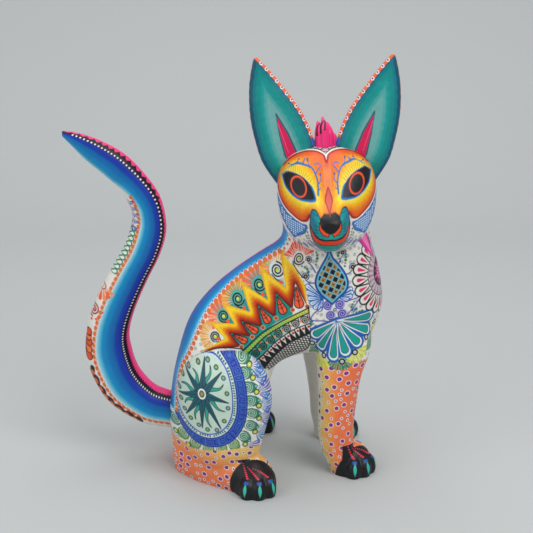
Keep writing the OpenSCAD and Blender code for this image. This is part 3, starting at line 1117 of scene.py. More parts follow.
def paint_loops(coat):
    """The blue feathers and the four curls between the drop and the shell."""
    left = [(-19, 175), (-19, 169.5), (-17, 164), (-15, 159), (-12, 155), (-8, 153)]
    right = [(20, 172), (21, 168.5), (20, 165), (17, 162)]
    for root, tips in (((-5, 164), left), ((9, 165), right)):
        for tip in tips:
            coat.drop(root, tip, 3.8, "2458AA", 0.7)
            coat.drop(between(root, tip, 0.15), tip, 3.0, "DCE8EE")
            coat.stroke([between(root, tip, 0.35), between(root, tip, 0.88)], 0.7, "2F78C0")
    coat.stroke(curve([(-4, 158), (-12, 151), (-14, 145), (-4, 144), (2, 143)]), 1.0, "4A3CA8")
    coat.stroke(curve([(10, 160), (20, 162), (28, 164)]), 1.0, "4A3CA8")
    coat.stroke(curve([(28, 164), (22, 155), (17, 149)]), 1.0, "4A3CA8")
    for place in ((-17, 147), (-15, 141), (28, 166), (31, 161), (24, 153)):
        coat.dot(place, 1.7, "3F4FA8", "2E9C8C")
    for place in ((-0.7, 158), (9.8, 158.5), (2, 149), (12.2, 150)):
        coat.dot(place, 4.4, "A9A8D6")
        coat.spiral(place, 4.2, 2.3, 1.0, "4334A4", first=200)
    coat.dot((5.5, 153.8), 1.7, "4A3CA8", "lime")


def paint_curls(coat):
    """Small hooks that end in a ringed dot, round the drop."""
    for eye, start in (
        ((-19, 196), (-12, 186)),
        ((-20, 182), (-13, 177)),
        ((12, 203), (9, 194)),
        ((21, 190), (15, 184)),
        ((-9, 210), (-3, 203)),
    ):
        bend = ((start[0] + eye[0]) / 2, eye[1] - 5)
        coat.stroke(curve([start, bend, (eye[0], eye[1] - 2.6)]), 1.2, "1D4E9E", 0.8)
        coat.stroke([polar(eye, 2.9, a) for a in np.linspace(-60, 200, 14)], 0.9, "1D4E9E")
        coat.dot(eye, 2.0, "black", "black", "C9A06A")


def paint_neck(coat):
    """The orange fan beside the neck, and the pink leaf and the dots under the chin."""
    centre = (-28, 196)
    coat.fan(centre, 5.6, 16.0, 32, 176, 14, 2.6, ["E8422C", "F0704E"])
    coat.dot(centre, 6.0, "white")
    coat.spiral(centre, 5.4, 2.6, 1.2, "black", first=120)
    coat.dot(centre, 1.3, "lime")
    coat.stroke(curve([(-33, 193), (-29, 188), (-22, 181)]), 0.9, "black")
    paint_chest_flower(coat)
    coat.leaf((18, 246), (50, 192), 17, "7E3AA8")
    coat.leaf((19, 245), (49, 193), 14, "E0308A")
    coat.leaf((21, 242), (47, 196), 7.5, "F47AB4")
    for v in np.arange(206, 238, 4.2):
        coat.oval((-46, v), 3.0, 1.5, 70, "coral")
        coat.oval((-41.5, v + 2), 2.2, 0.9, 60, "black")
        coat.dot((-37.5, v), 0.7, "magenta")
    coat.dot((33, 216), 3.6, "C9A978", "E4DAC4", "C9A978")


def paint_chest(coat):
    coat.specks((-40, 104), (68, 236), 5.6, "4A545E", seed=8)
    paint_green_rows(coat)
    paint_shell(coat)
    paint_loops(coat)
    paint_drop(coat)
    paint_curls(coat)
    paint_neck(coat)


def paint_trunk(obj):
    """Colours of the torso's points."""
    points, _ = surface(obj)
    x, forward, z = points[:, 0], -points[:, 1], points[:, 2]
    flank = Coat(forward, z)
    paint_flank(flank, x)
    chest = Coat(*chest_chart(points))
    low = soft((106 - z) * 0.2) * (forward > 36)
    chest.rgb = blended(chest.rgb, paint_front_legs(points), low)
    paint_chest(chest)
    heights = [0, 111, 130, 156, 175, 188, 198, 260]
    edge = np.interp(z, heights, [36.5, 36.5, 37.5, 36, 32, 24, 13, 13])
    rgb = blended(flank.rgb, chest.rgb, soft(forward - edge))
    from_row, _ = measured(forward, z, curve(DOT_ROW, 4))
    from_back, _ = measured(forward, z, curve(BACK, 4))
    stripe = ((from_row < 2.6) | (from_back < 4)) & (forward < 30)
    rgb[stripe] = flank.rgb[stripe]
    rgb = blended(rgb, paint_haunch(points), soft((60 - z) * 0.5) * (forward < -20))
    pocket = (np.abs(x - TAIL[0][0]) < 15.5) & (np.abs(z - TAIL_ROOT_Z) < 18.5)
    rgb[pocket & (forward < -50) & (-forward < TAIL_SEAT + 0.1)] = hue("wood")
    return rgb


# ---------------------------------------------------------------- the legs' paintwork


def axis_of(line, z):
    """Middle of a leg at each height: x and forward."""
    rows = refined(line, 4)[::-1]
    middle = (rows[:, 1] + rows[:, 3]) / 2
    return np.interp(z, rows[:, 2], rows[:, 0]), np.interp(z, rows[:, 2], middle)


def paint_dots(coat, low, high, seed):
    """Plum dots ringed white, and small white dots with blue middles, spread evenly."""
    rng = np.random.default_rng(seed)
    placed = []
    for _ in range(1800):
        place = (rng.uniform(low[0], high[0]), rng.uniform(low[1], high[1]))
        big = len(placed) % 2 == 0
        reach = 2.4 if big else 1.4
        if all(math.dist(place, p[:2]) > reach + p[2] + 1.3 for p in placed):
            placed.append((*place, reach))
            if big:
                coat.dot(place, 2.3, "F2EDE8")
                coat.dot(place, 1.8, "6A1A7A", "6A1A7A", "C8388E")
            else:
                coat.dot(place, 1.35, "F2EFEA")
                coat.dot(place, 0.75, "2A3FA0")


LEG_SHADES = [
    (-30, "white"),
    (-19, "E6E0CC"),
    (-14, "E8C46A"),
    (-7, "EC9A50"),
    (0, "EC7648"),
    (22, "E86F46"),
    (32, "ECA860"),
    (40, "white"),
]


def grained(rgb, seed):
    """Colours made uneven from point to point."""
    return rgb * np.random.default_rng(seed).uniform(0.9, 1.12, len(rgb))[:, None]


def paint_leg_chart(round_, z, seed):
    """A lower leg's colours: orange in front, yellow behind it, white at the back and inside."""
    coat = Coat(round_, z)
    coat.rgb = grained(shades(round_ + 1.2 * np.sin(z * 0.35), LEG_SHADES), seed)
    paint_dots(coat, (-20, 2), (36, 104), seed)
    return coat.rgb


def paint_front_legs(points):
    """Colours that both front legs have at these points, above the paws."""
    x, forward, z = points[:, 0], -points[:, 1], points[:, 2]
    right_x, right_f = axis_of(FRONT_RIGHT, z)
    left_x, left_f = axis_of(FRONT_LEFT, z)
    is_right = np.hypot(x - right_x, forward - right_f) < np.hypot(x - left_x, forward - left_f)
    right = 16 * np.arctan2(forward - right_f, right_x - x)
    left = 16 * np.arctan2(forward - left_f, x - left_x)
    return np.where(is_right[:, None], paint_leg_chart(right, z, 21), paint_leg_chart(left, z, 22))


def paint_paw(rgb, points, name, edge_low, edge_rise):
    """The black paw with dots that grow along each toe, blue cuticles and teal claws."""
    x, forward, way = PAWS[name]
    c, s = trig(way)
    dx, dy, z = points[:, 0] - x, points[:, 1] + forward, points[:, 2]
    ahead, across = dx * s - dy * c, dx * c + dy * s
    black = soft(ahead - edge_low - edge_rise * np.minimum(z, 17)) * soft(PAW_H + 3 - z)
    rgb = blended(rgb, hue("black"), black)
    for toe in (-TOE_TURN, 0, TOE_TURN):
        c, s = trig(toe)
        reach, side = ahead * c + across * s, across * c - ahead * s
        mine = np.where((np.abs(side) < 14) & (reach > 0) & (z < PAW_H + 2) & (black > 0.5))[0]
        coat = Coat(side[mine], reach[mine] + (PAW_H - z[mine]))
        coat.rgb = rgb[mine]
        for i in range(8):
            at = 8.5 + 2.4 * i
            coat.dot((-0.42 * (26 - at), at), 0.5 + 0.1 * i, "E8334E")
        coat.patch([(-2.2, 29.5), (2.2, 29.5), (1.7, 33.5), (-1.7, 33.5)], "1F58A8")
        coat.leaf((0, 33), (0, 46.5), 3.0, "35B9A4")
        rgb[mine] = coat.rgb
    return rgb


def paint_front_leg(obj, name):
    points, _ = surface(obj)
    return paint_paw(paint_front_legs(points), points, name, -1.0, 0.5)


# ---------------------------------------------------------------- the haunches' paintwork

EGG = [
    (-65, 109),
    (-59, 114.5),
    (-52, 117),
    (-43, 117),
    (-35.5, 111),
    (-31, 101),
    (-29, 87),
    (-30, 72),
    (-36, 60),
    (-46, 54),
    (-57, 54),
    (-67, 60),
    (-73.5, 69),
    (-77, 80),
    (-75.5, 92),
    (-70.5, 102),
]
SUN = (-54, 87.5)
STRAIGHT_RAYS = [
    (-52, 115),
    (-37.5, 107),
    (-31.5, 83),
    (-38, 59),
    (-54, 57.5),
    (-68, 66),
    (-74.5, 82),
    (-69, 104),
]
WAVY_RAYS = [
    (-46.5, 113),
    (-34, 99),
    (-32.5, 74),
    (-45, 56),
    (-60, 61),
    (-70.5, 74),
    (-74, 91),
    (-63, 107),
]


def paint_sun(coat):
    """Eight wavy rays, eight straight ones over them, and the ringed middle."""
    for tip in WAVY_RAYS:
        run, way = math.dist(SUN, tip), heading(SUN, tip)
        line = []
        for t in np.linspace(0.15, 0.9, 18):
            off = 2.3 * math.sin(2.2 * math.pi * t) * (0.4 + 0.6 * t)
            line.append(polar(polar(SUN, run * t, way), off, way + 90))
        coat.stroke(line, 5.6, "14302E", 0.9)
        coat.stroke(line[:-2], 4.0, "2FA08E", 0.5)
    for tip in STRAIGHT_RAYS:
        left, right = [polar(SUN, 6.4, heading(SUN, tip) + a) for a in (-24, 24)]
        coat.patch([left, tip, right, SUN], "10262C", 0.5)
        coat.patch([left, tip, right, SUN], "1A5A6A")
        coat.stroke([SUN, between(SUN, tip, 0.9)], 0.8, "10363E", 0.3)
    for r, colour in ((4.0, "F2F0E8"), (2.8, "2A6A55"), (1.5, "B58A4A")):
        coat.oval(SUN, 2.2 * r, 1.7 * r, 90, colour)


def paint_key(coat, inner, outer):
    """The blue band of squared keys round the egg: fine pale lines on blue."""
    some = coat.round_points(EGG, 16)
    u, v = coat.u[some], coat.v[some]
    d, along = measured(u, v, curve(EGG + [EGG[0]], 4))
    d = np.where(inside(u, v, EGG), -d, d)
    reach = np.interp(u, [-80, -60, -30], [outer - 3.2, outer - 1.2, outer])
    cover = soft(d - inner) * soft(reach - d)
    coat.lay(some, cover, "2338A0")
    across = (d - inner) / np.maximum(reach - inner, 1)
    square = np.maximum(np.abs((along / 4.2) % 1 - 0.5), np.abs(across - 0.5)) * 4.2
    lines = (np.abs((square % 1.05) - 0.52) < 0.2) & (np.abs(across - 0.5) < 0.45)
    coat.lay(some, cover * 0.6 * lines, "4A84CC")
    edge = soft(0.45 - np.abs(d - inner)) + soft(0.45 - np.abs(d - reach))
    coat.lay(some, np.clip(edge, 0, 1), "16308A")


def paint_egg(coat):
    """The thigh's egg: its rims, its blue band and the sun inside it."""
    outline = curve(EGG + [EGG[0]], 4)[:-1]
    for grow, colour in ((4.6, "16308A"), (4.2, "D8E4E0"), (1.5, "2441A8"), (0.5, "BDD4E4")):
        coat.patch(outline, colour, grow)
    coat.patch(outline, "pale_green", -0.2)
    for u, v, way in spaced(EGG + [EGG[0]], 2.1):
        coat.oval(polar((u, v), 3.0, way + 90), 1.5, 2.0, way, "1F7058")
    paint_key(coat, 4.6, 13.0)
    paint_sun(coat)
    tips = sorted(STRAIGHT_RAYS + WAVY_RAYS, key=lambda tip: heading(SUN, tip))
    for i, (a, b) in enumerate(zip(tips, tips[1:] + tips[:1])):
        rim = "2F5C96" if i % 2 else "1F5C42"
        coat.dot(between(a, b, 0.5), 2.1, rim, "4F8F6A", "D59A5A")


def paint_scrolls(coat):
    """Leaves, spirals and fans in turn along an arc round the front and foot of the egg."""
    arc = [(-21, 124), (-20, 113), (-17, 103), (-14, 91), (-12.5, 79), (-13, 67), (-17, 57)]
    arc += [(-24, 49), (-34, 43), (-48, 39.5), (-62, 41), (-74, 46), (-80, 54)]
    for i, (u, v, way) in enumerate(spaced(curve(arc), 11.4, 4)):
        out = way + 90
        deep = "2E7A62" if v > 52 else "5E8A3A"
        coat.leaf(polar((u, v), -4, out), polar((u, v), 9.0, out - 8), 9.5, deep)
        coat.dot((u, v), 5.0, deep)
        coat.dot((u, v), 4.3, "CFE3D4")
        coat.spiral((u, v), 4.1, 2.6, 1.05, deep, first=way)
        coat.dot(polar((u, v), 7.0, out - 8), 0.7, "8FD4E0")
        at = polar(polar((u, v), 5.7, way), 6.2, out)
        colours = ["2A74BC", "4E92CC"] if i % 2 else ["4A48A8", "6E78C0"]
        coat.fan(at, 2.4, 12.5, out - 56, out + 48, 8, 1.9, colours)
        for radius, colour in ((2.5, "black"), (1.7, "B9C83A"), (0.6, "E6EAA8")):
            coat.dot(at, radius, colour)


def paint_foot(forward, z):
    """Colours of the hind foot, orange below and yellow above."""
    foot = Coat(forward, z)
    stops = [(-10, "E8734C"), (14, "EC8450"), (24, "ECA458"), (34, "E8C070")]
    foot.rgb = grained(shades(z + 0.15 * forward, stops), 33)
    paint_dots(foot, (-86, 0), (40, 46), 34)
    return foot.rgb


def paint_haunch(points):
    """The thigh's colours, on a chart of forward and height seen from its own side."""
    forward, z = -points[:, 1], points[:, 2]
    coat = Coat(forward, z)
    coat.specks((-6, 44), (16, 124), 5.5, "6A7078", seed=31)
    paint_scrolls(coat)
    paint_egg(coat)
    rim = [(-22, 125), (-9, 122), (2, 114), (7, 102), (9, 88), (8, 74), (4, 60), (-1, 50)]
    coat.stroke(curve(rim), 1.0, "2F7F62")
    places = [-90, -80, -66, -50, -30, -15, 0, 10]
    foot_line = np.interp(forward, places, [36, 36, 34, 37, 41, 43, 40, 36])
    return blended(coat.rgb, paint_foot(forward, z), soft((foot_line - z) * 0.6))


def paint_hind_leg(obj, name):
    points, normals = surface(obj)
    rgb = paint_haunch(points)
    towards_middle = normals[:, 0] * (1 if name == "hind_right" else -1)
    rgb[towards_middle > 0.55] = hue("white")
    return paint_paw(rgb, points, name, 0.0, 0.1)


# ---------------------------------------------------------------- the head's paintwork

FACE_PITCH = 17.0
MASK = [
    (0, 21.5),
    (3, 25),
    (9, 28),
    (17.5, 28.5),
    (26, 26),
    (32, 22),
    (35.5, 17),
    (38.5, 12),
    (40.5, 6),
    (41, 0),
    (39.5, -6),
    (35, -11.5),
    (28, -15.5),
    (22, -16.5),
    (18, -13.5),
    (15.5, -8.5),
    (11, -5.5),
    (6, -7),
    (0, -7),
]
EYE = [
    (35.5, 9),
    (33.5, 11.3),
    (31, 13),
    (28, 13.7),
    (25, 13.8),
    (22, 13.3),
    (19, 12.3),
    (16.3, 10.6),
    (14, 8),
    (12.4, 4.8),
    (11.3, 1.5),
    (14.5, 0.5),
    (18, 0),
    (21.5, -0.3),
    (25, 0),
    (28.3, 1),
    (31, 2.8),
    (33, 4.4),
    (34, 6),
]
IRIS = (23.5, 6.6)
NOSE = [(0, -2.6), (4.5, -2.6), (7.6, -4.0), (8.6, -6.4), (7.4, -9.6), (3.6, -13.2), (0, -14.6)]
MUZZLE = [
    (0, -9),
    (5, -8),
    (8, -4.8),
    (11, -3.4),
    (13.8, -4.6),
    (15.2, -9),
    (15.8, -16),
    (14.5, -22),
    (12, -28),
    (9, -34),
    (4, -41),
    (0, -43),
]


def over_middle(half):
    """A half outline carried past the middle line, so that it has no edge there."""
    return [(-6, half[0][1])] + half + [(-6, half[-1][1])]


GLOW = [
    (1.6, "EBD84A"),
    (3.6, "EFD02C"),
    (4.4, "F0BE1E"),
    (6.4, "F0B01A"),
    (7.0, "EE9A16"),
    (9.2, "EC8E18"),
    (9.8, "E87A1C"),
    (13.0, "E66C22"),
    (18.0, "EA7028"),
    (26.0, "EC7E36"),
]


def paint_mask(coat):
    """The mask's rings of yellow to orange round the eye, its rim, lids and brow."""
    mask = over_middle(curve(MASK, 4))
    coat.patch(mask, "white", 1.4)
    some, u, v, depth = coat.area(mask)
    from_eye = -depth_in(u, v, EYE)
    streak = 0.45 * np.sin(np.degrees(np.arctan2(v - IRIS[1], u - IRIS[0])) * 0.55)
    bridge = soft(3.2 - u) * soft(v - 3)
    glow = blended(shades(from_eye + streak, GLOW), hue("F29A66"), 0.5 * bridge)
    coat.lay(some, soft(depth), glow)
    coat.lay(some, np.clip((5.5 - depth) / 4, 0, 1) * soft(depth) * 0.7, "D8421A")
    coat.lay(some, soft(1.3 - depth) * soft(depth), "A0201A")
    lid = from_eye * np.interp(v, [8, 13], [1, 3.2])
    coat.lay(some, soft(1.5 - lid), "1F7CC0")
    coat.lay(some, soft(0.7 - lid), "0F4E8E")
    brow = [(13, 12), (17, 15.2), (22, 17), (27, 17), (32, 15), (36.5, 11.5)]
    for u0, v0, way in spaced(curve(brow), 1.7):
        coat.stroke([(u0, v0), polar((u0, v0), 3.4, way - 82)], 0.5, "C98A16", 0.3)


def paint_eye(coat):
    coat.patch(EYE, "black")
    coat.dot(IRIS, 6.5, "F2552E")
    coat.dot(IRIS, 5.7, "B8301E")
    coat.dot(IRIS, 5.2, "black")


def paint_branches(coat):
    """The blue branch over the brow, its twigs, and the red drop between the eyes."""
    main = curve([(8.2, 3.8), (7.9, 9), (8.7, 13.5), (12, 18.2), (18, 19.2), (24, 18.6), (31, 15.2)])
    coat.stroke(main, 1.5, "2C6FB0", 0.6)
    for twig in (
        [(14, 18.4), (15.2, 21.2)],
        [(19.5, 19.2), (17, 21.6)],
        [(24, 18.6), (22, 21.2)],
        [(28, 17), (30.5, 18.4)],
        [(9.5, 15), (7.2, 17.6), (5, 19.1), (7.1, 20.4), (10, 19.7)],
        [(8, 9.5), (5.4, 12), (5.8, 15)],
        [(8, 6), (5.6, 7.4)],
    ):
        coat.stroke(curve(twig), 0.9, "2C6FB0", 0.5)
    for place in ((15.2, 21.2), (22, 21.2), (30.5, 18.4), (5.6, 15)):
        coat.dot(place, 0.7, "1A4E94")
    coat.patch([(0.0, 8.6), (2.9, 2.9), (3.4, 0.8), (0.0, -3.4), (-3, 0), (-3, 8)], "9E2A24")
    coat.patch([(0.0, 7.0), (2.1, 2.3), (2.5, 0.7), (0.0, -2.4), (-3, 0), (-3, 7)], "D25A50")


def paint_muzzle(coat):
    """The striped teal muzzle with its mouth, whiskers, nostril and nose."""
    muzzle = over_middle(curve(MUZZLE, 4))
    coat.patch(muzzle, "0A3E4E", 0.6)
    some, u, v, depth = coat.area(muzzle)
    cover = soft(depth)
    stops = [(0, "1AA094"), (6, "14968E"), (11, "128A90"), (14.5, "1A7696")]
    coat.lay(some, cover, shades(u, stops))
    coat.lay(some, cover * (np.abs(np.sin(v * 1.3 + u * 0.25)) < 0.22) * (u > 4), "0C5C72")
    lip = [(-6, -19.4), (0, -19.4), (4, -19.8), (9, -19.2), (12.5, -17), (15.6, -13.5)]
    foot = [(15.6, -15), (14.5, -20), (12, -23.2), (7, -24.8), (0, -25.4), (-6, -25.4)]
    coat.patch(lip + foot, "black", 0.8)
    coat.patch(lip + foot, "E83C14")
    coat.stroke(curve(lip), 1.5, "black")
    for k in range(4):
        coat.stroke([(10.5, -8.6 - 1.9 * k), (13.6, -8.0 - 2.3 * k)], 0.6, "0A3A4A", 0.3)
    flare = [(8.4, -7), (8.6, -11), (6.4, -14.4), (2.2, -16.2), (1.6, -13.4), (5, -11)]
    coat.patch(flare, "black", 0.7)
    coat.patch(flare, "F04A1E")
    coat.patch(over_middle(NOSE), "black")


CHEEK_LEAF = [
    (18.5, -17.5),
    (27, -18.5),
    (34, -15.5),
    (40.5, -8),
    (40, -16),
    (37, -23),
    (33.5, -29),
    (29, -34.5),
    (25, -29.5),
    (20.5, -24.5),
]


def paint_cheeks(coat):
    """The white sides below the mask: blue dotted leaves, fine loops and the chin's rows."""
    coat.specks((18, -46), (40, -14), 4.6, "5E6A86", seed=12)
    coat.patch(CHEEK_LEAF, "1A4E9E", 0.7)
    coat.patch(CHEEK_LEAF, "2A78C0")
    dots = np.array([(19 + 1.7 * i, -35 + 1.9 * k) for i in range(14) for k in range(16)])
    for place in dots[depth_in(*dots.T, CHEEK_LEAF) > 0.8]:
        coat.dot(place, 0.6, "DCE8F0")
    for way in range(200, 303, 17):
        root = polar((30, -24), 13, way)
        coat.leaf(root, polar(root, 8.5, way), 3.2, "4A55A8")
        coat.stroke([root, polar(root, 6.5, way)], 0.4, "white")
    for u, colour in ((12.5, "E0368A"), (15.2, "black"), (17.8, "2E7F8E")):
        row = curve([(u + 3, -22), (u, -30), (u - 5, -38), (u - 11, -45)])
        coat.beads(row, 2.3, 0.7, colour)


def paint_crown(coat):
    """Loops between the mask and the ears."""
    line = curve([(0, 27), (5, 31), (12, 32.5), (20, 32), (28, 29.5), (34, 25), (38, 19)])
    for u, v, way in spaced(line, 3.7, 1.6):
        coat.ring((u, v), 1.7, 0.8, "1A1A24")
        coat.dot((u, v), 0.8, "E0368A")
        coat.dot(polar((u, v), 3.0, way + 90), 0.7, "2E7F62")
    coat.stroke([(u, v - 2.4) for u, v in line], 0.8, "1A1A24")


def face_chart(place, ways):
    """The face seen square on, both its sides laid on one: across from its middle, and up."""
    c, s = trig(FACE_PITCH)
    x, forward, z = place[:, 0], -place[:, 1], place[:, 2]
    up = (z - 255) * c + (forward - 40) * s
    up += 2 * s * np.maximum(24 - forward, 0) * np.clip((ways[:, 2] - 0.35) * 3, 0, 1)
    c, s = trig(-HEAD_ROLL)
    return np.abs(x * c - up * s), x * s + up * c


def paint_head_sides(forward, z):
    """Colours of the head behind the mask: fans, spirals and fine stars on white."""
    coat = Coat(forward, z)
    coat.specks((-40, 206), (40, 290), 6, "5E6A86", seed=14)
    for k in range(9):
        at = (-26 + 6.6 * k, 236 + 6 * math.sin(0.9 * k))
        coat.fan(at, 4.2, 10.5, 200, 340, 8, 2.0, ["2E7ABF", "5E9CD0"])
        coat.dot(at, 3.6, "2E6FB4", "white", "E0368A")
    for k in range(7):
        at = (-22 + 7.6 * k, 268 + 3 * math.cos(1.3 * k))
        coat.spiral(at, 3.4, 2.2, 0.7, "3E3E9E", first=60 * k)
        coat.dot(polar(at, 4.8, 40 + 30 * k), 0.9, "green")
    return coat.rgb


def paint_head_stripe(rgb, middle, along):
    """The back's stripe carried over the head, with its rows of dots."""
    coat = Coat(middle, along)
    stops = [(-0.01, "pink"), (0, "pink"), (0.06, "1B3F9C")] + STRIPE[1:]
    coat.rgb = np.where((middle < 10.4)[:, None], shades((middle - 2) / 9.6, stops), rgb)
    for at in np.arange(150, 330, 3.7):
        coat.dot((12.4, at), 1.35, "orange", "ochre")
        coat.dot((14.6, at + 1.8), 0.45, "ink")
    return coat.rgb


def paint_head(obj):
    points, normals = surface(obj)
    back = head_frame().inverted()
    place = carried(back, points)
    ways = normals @ np.array(back)[:3, :3].T
    x, forward, z = place[:, 0], -place[:, 1], place[:, 2]
    face = Coat(*face_chart(place, ways))
    paint_cheeks(face)
    paint_crown(face)
    paint_mask(face)
    paint_muzzle(face)
    paint_branches(face)
    paint_eye(face)
    sides = paint_head_sides(forward, z)
    stripe = paint_head_stripe(sides, np.abs(x), forward + z)
    rest = blended(sides, stripe, soft((4 - forward) * 0.5))
    c, s = trig(FACE_PITCH)
    facing = ways[:, 2] * s - ways[:, 1] * c
    share = soft((facing - 0.03) * 6) * soft((forward + 18) * 0.5)
    rgb = blended(rest, face.rgb, share)
    wide, thick, deep = EAR_TENON
    for side in (1, -1):
        spot = carried(ear_frame(side).inverted(), points)
        hole = (np.abs(spot[:, 0]) < wide + 2 * GAP) & (np.abs(spot[:, 1]) < thick + 2 * GAP)
        rgb[hole & (spot[:, 2] < 8) & (spot[:, 2] > -deep - 1)] = hue("wood")
    return rgb


# ---------------------------------------------------------------- ears, crest and tail


EAR_INSIDE = [
    (0.9, "04566E"),
    (3.1, "04566E"),
    (3.5, "057782"),
    (5.8, "057C84"),
    (6.2, "088985"),
    (9.2, "0A8C88"),
    (9.8, "0E9390"),
    (12.2, "1E9A96"),
    (12.8, "44A39F"),
    (15.0, "54A8A2"),
    (15.6, "6BACA8"),
]
EAR_BACK = [
    (0, "5A3FA8"),
    (2, "3159AE"),
    (7, "2468B8"),
    (10, "199BCF"),
    (14, "3FB0DC"),
    (17, "AADDF0"),
    (19.5, "E8D24A"),
    (23, "E8B84A"),
    (28, "EE7A4A"),
    (90, "EC6A3E"),
]


def paint_ear_inside(across, up, depth):
    """Rings of teal inside the dish, the magenta flame, and the dotted coral rim."""
    coat = Coat(across, up)
    coat.rgb = shades(depth, EAR_INSIDE)
    coat.patch([(-0.5, 48), (-4.5, 30), (-6, 13), (-4, 6), (3, 6), (4, 13), (2.5, 30)], "0C5C6E", 0.5)
    coat.patch([(-0.3, 46), (-3.6, 30), (-5, 13), (-4, 7), (3, 7), (3, 13), (2, 30)], "magenta")
    coat.stroke([(0.6, 40), (0.4, 14)], 0.7, "F05A8A", 0.4)
    rim = [(s[0] - s[5] / 2 + 1.2, s[2]) for s in refined(EAR, 4)]
    coat.stroke(rim, 2.4, "EE6A3E")
    coat.stroke([p for p in rim if p[1] < 20], 2.4, "2468B8")
    coat.beads(rim, 6.4, 1.5, "F2EDE8", "plum", start=40)
    return coat.rgb


def paint_ear_back(across, up):
    """Blue to orange up the ear's back, with staggered rows of plum ovals."""
    coat = Coat(across, up)
    coat.rgb = shades(up, EAR_BACK)
    for k, height in enumerate((31, 41, 51, 61, 71, 80)):
        width = np.interp(height, [s[2] for s in EAR], [s[5] for s in EAR])
        for at in np.arange(-width / 2 + 3 + 2 * (k % 2), width / 2 - 1, 7.6):
            coat.oval((at, height), 5.4, 4.0, 90, "F2EDE8")
            coat.oval((at, height), 4.2, 2.8, 90, "plum")
            coat.dot((at, height), 0.6, "E48AC0")
            coat.dot((at + 3.8, height + 4.6), 0.8, "yellow")
    return coat.rgb


def paint_ear(obj, side):
    points, normals = surface(obj)
    back = ear_frame(side).inverted()
    place = carried(back, points)
    ways = normals @ np.array(back)[:3, :3].T
    across, up = place[:, 0], place[:, 2]
    line = refined(EAR, 4)
    outline = [(s[0] - s[5] / 2, s[2]) for s in line] + [(s[0] + s[5] / 2, s[2]) for s in line[::-1]]
    depth = depth_in(across, up, outline) + 0.25 * np.sin(up * 0.9)
    front = soft((-ways[:, 1] - 0.3) * 5) * soft(depth - 0.3)
    rgb = blended(paint_ear_back(across, up), paint_ear_inside(across, up, depth), front)
    wide, thick, _ = EAR_TENON
    tenon = (np.abs(across) < wide + 0.05) & (np.abs(place[:, 1]) < thick + 0.05) & (up < 3.9)
    rgb[tenon] = hue("wood")
    return rgb


def paint_crest(obj):
    points, _ = surface(obj)
    local = carried(head_frame().inverted(), points)
    across, up = local[:, 0], local[:, 2] - CREST_ROOT[2]
    coat = Coat(across, up)
    coat.rgb = shades(up, [(0, "D8246A"), (8, "F0307A"), (20, "F0307A"), (30, "F4508E")])
    for at, low in ((-7, 15), (-4, 17), (-0.5, 20)):
        coat.stroke(curve([(at, low), (at + 0.4, low + 6), (at + 3, low + 10)]), 1.6, "1A0A14", 0.6)
    for at in (3.5, 6.5):
        coat.stroke([(at, 4), (at - 0.3, 16)], 0.5, "A81450", 0.3)
    coat.rgb[up < -0.4] = hue("wood")
    return coat.rgb


TAIL_BANDS = [
    (0.052, "pink"),
    (0.060, "14101E"),
    (0.150, "14101E"),
    (0.160, "12289A"),
    (0.28, "0A3CA0"),
    (0.33, "0560A8"),
    (0.44, "0670B0"),
    (0.48, "087CB8"),
    (0.58, "0A8CC0"),
    (0.63, "4FB0D0"),
    (0.69, "90CCDC"),
    (0.73, "white"),
]


def tail_chart(points):
    """Where points lie on the tail: along it, their share of the way across, and its widths.

    The widths come as the distances along the tail and its width at each.
    """
    slices = rings(tail_line(), SQUARENESS, 0.0, TAIL_STEPS, TAIL_AROUND)
    middle = slices.mean(axis=1)
    run = np.concatenate([[0], np.cumsum(np.linalg.norm(np.diff(middle, axis=0), axis=1))])
    rows = refined(tail_line(), TAIL_STEPS)
    width = np.hypot(rows[:, 3] - rows[:, 1], rows[:, 4] - rows[:, 2])
    a = np.linspace(0, 2 * np.pi, TAIL_AROUND, endpoint=False)
    share = (1 + np.sign(np.sin(a)) * np.abs(np.sin(a)) ** (2 / SQUARENESS)) / 2
    tree = kdtree.KDTree(slices.size // 3)
    for i, p in enumerate(slices.reshape(-1, 3)):
        tree.insert(p, i)
    tree.balance()
    found = np.array([tree.find(p)[1] for p in points])
    return run[found // TAIL_AROUND], share[found % TAIL_AROUND], run, width


def paint_tail(obj):
    points, _ = surface(obj)
    t, share, run, width = tail_chart(points)
    coat = Coat(t, share * np.interp(t, run, width))

    def place(along, part):
        return along, part * np.interp(along, run, width)

    def narrowing(along):
        return np.interp(along, [225, 262], [1, 0.7])

    part = share * narrowing(t)
    period = np.where(t > 230, 5.5, 3.0)
    teeth = np.where(t > 230, 0.1, 0.05) * np.abs((t / period) % 1 - 0.5)
    coat.rgb = shades(part + np.where(part < 0.1, teeth, 0), TAIL_BANDS)
    for along in np.arange(3, run[-1] - 6, 3.0):
        coat.dot(place(along, 0.125 / narrowing(along)), 0.62, "F2F0EA")
    for along in np.arange(4, 243, 4.6):
        coat.oval(place(along, 0.775), 4.3, 3.2, 0, "F0602A")
        coat.dot(place(along, 0.775), 0.9, "A8893A")
        coat.dot(place(along + 2.3, 0.735), 0.45, "ink")
    paint_tail_field(coat, place)
    coat.rgb[points[:, 1] < TAIL_SEAT + 0.05] = hue("wood")
    return coat.rgb


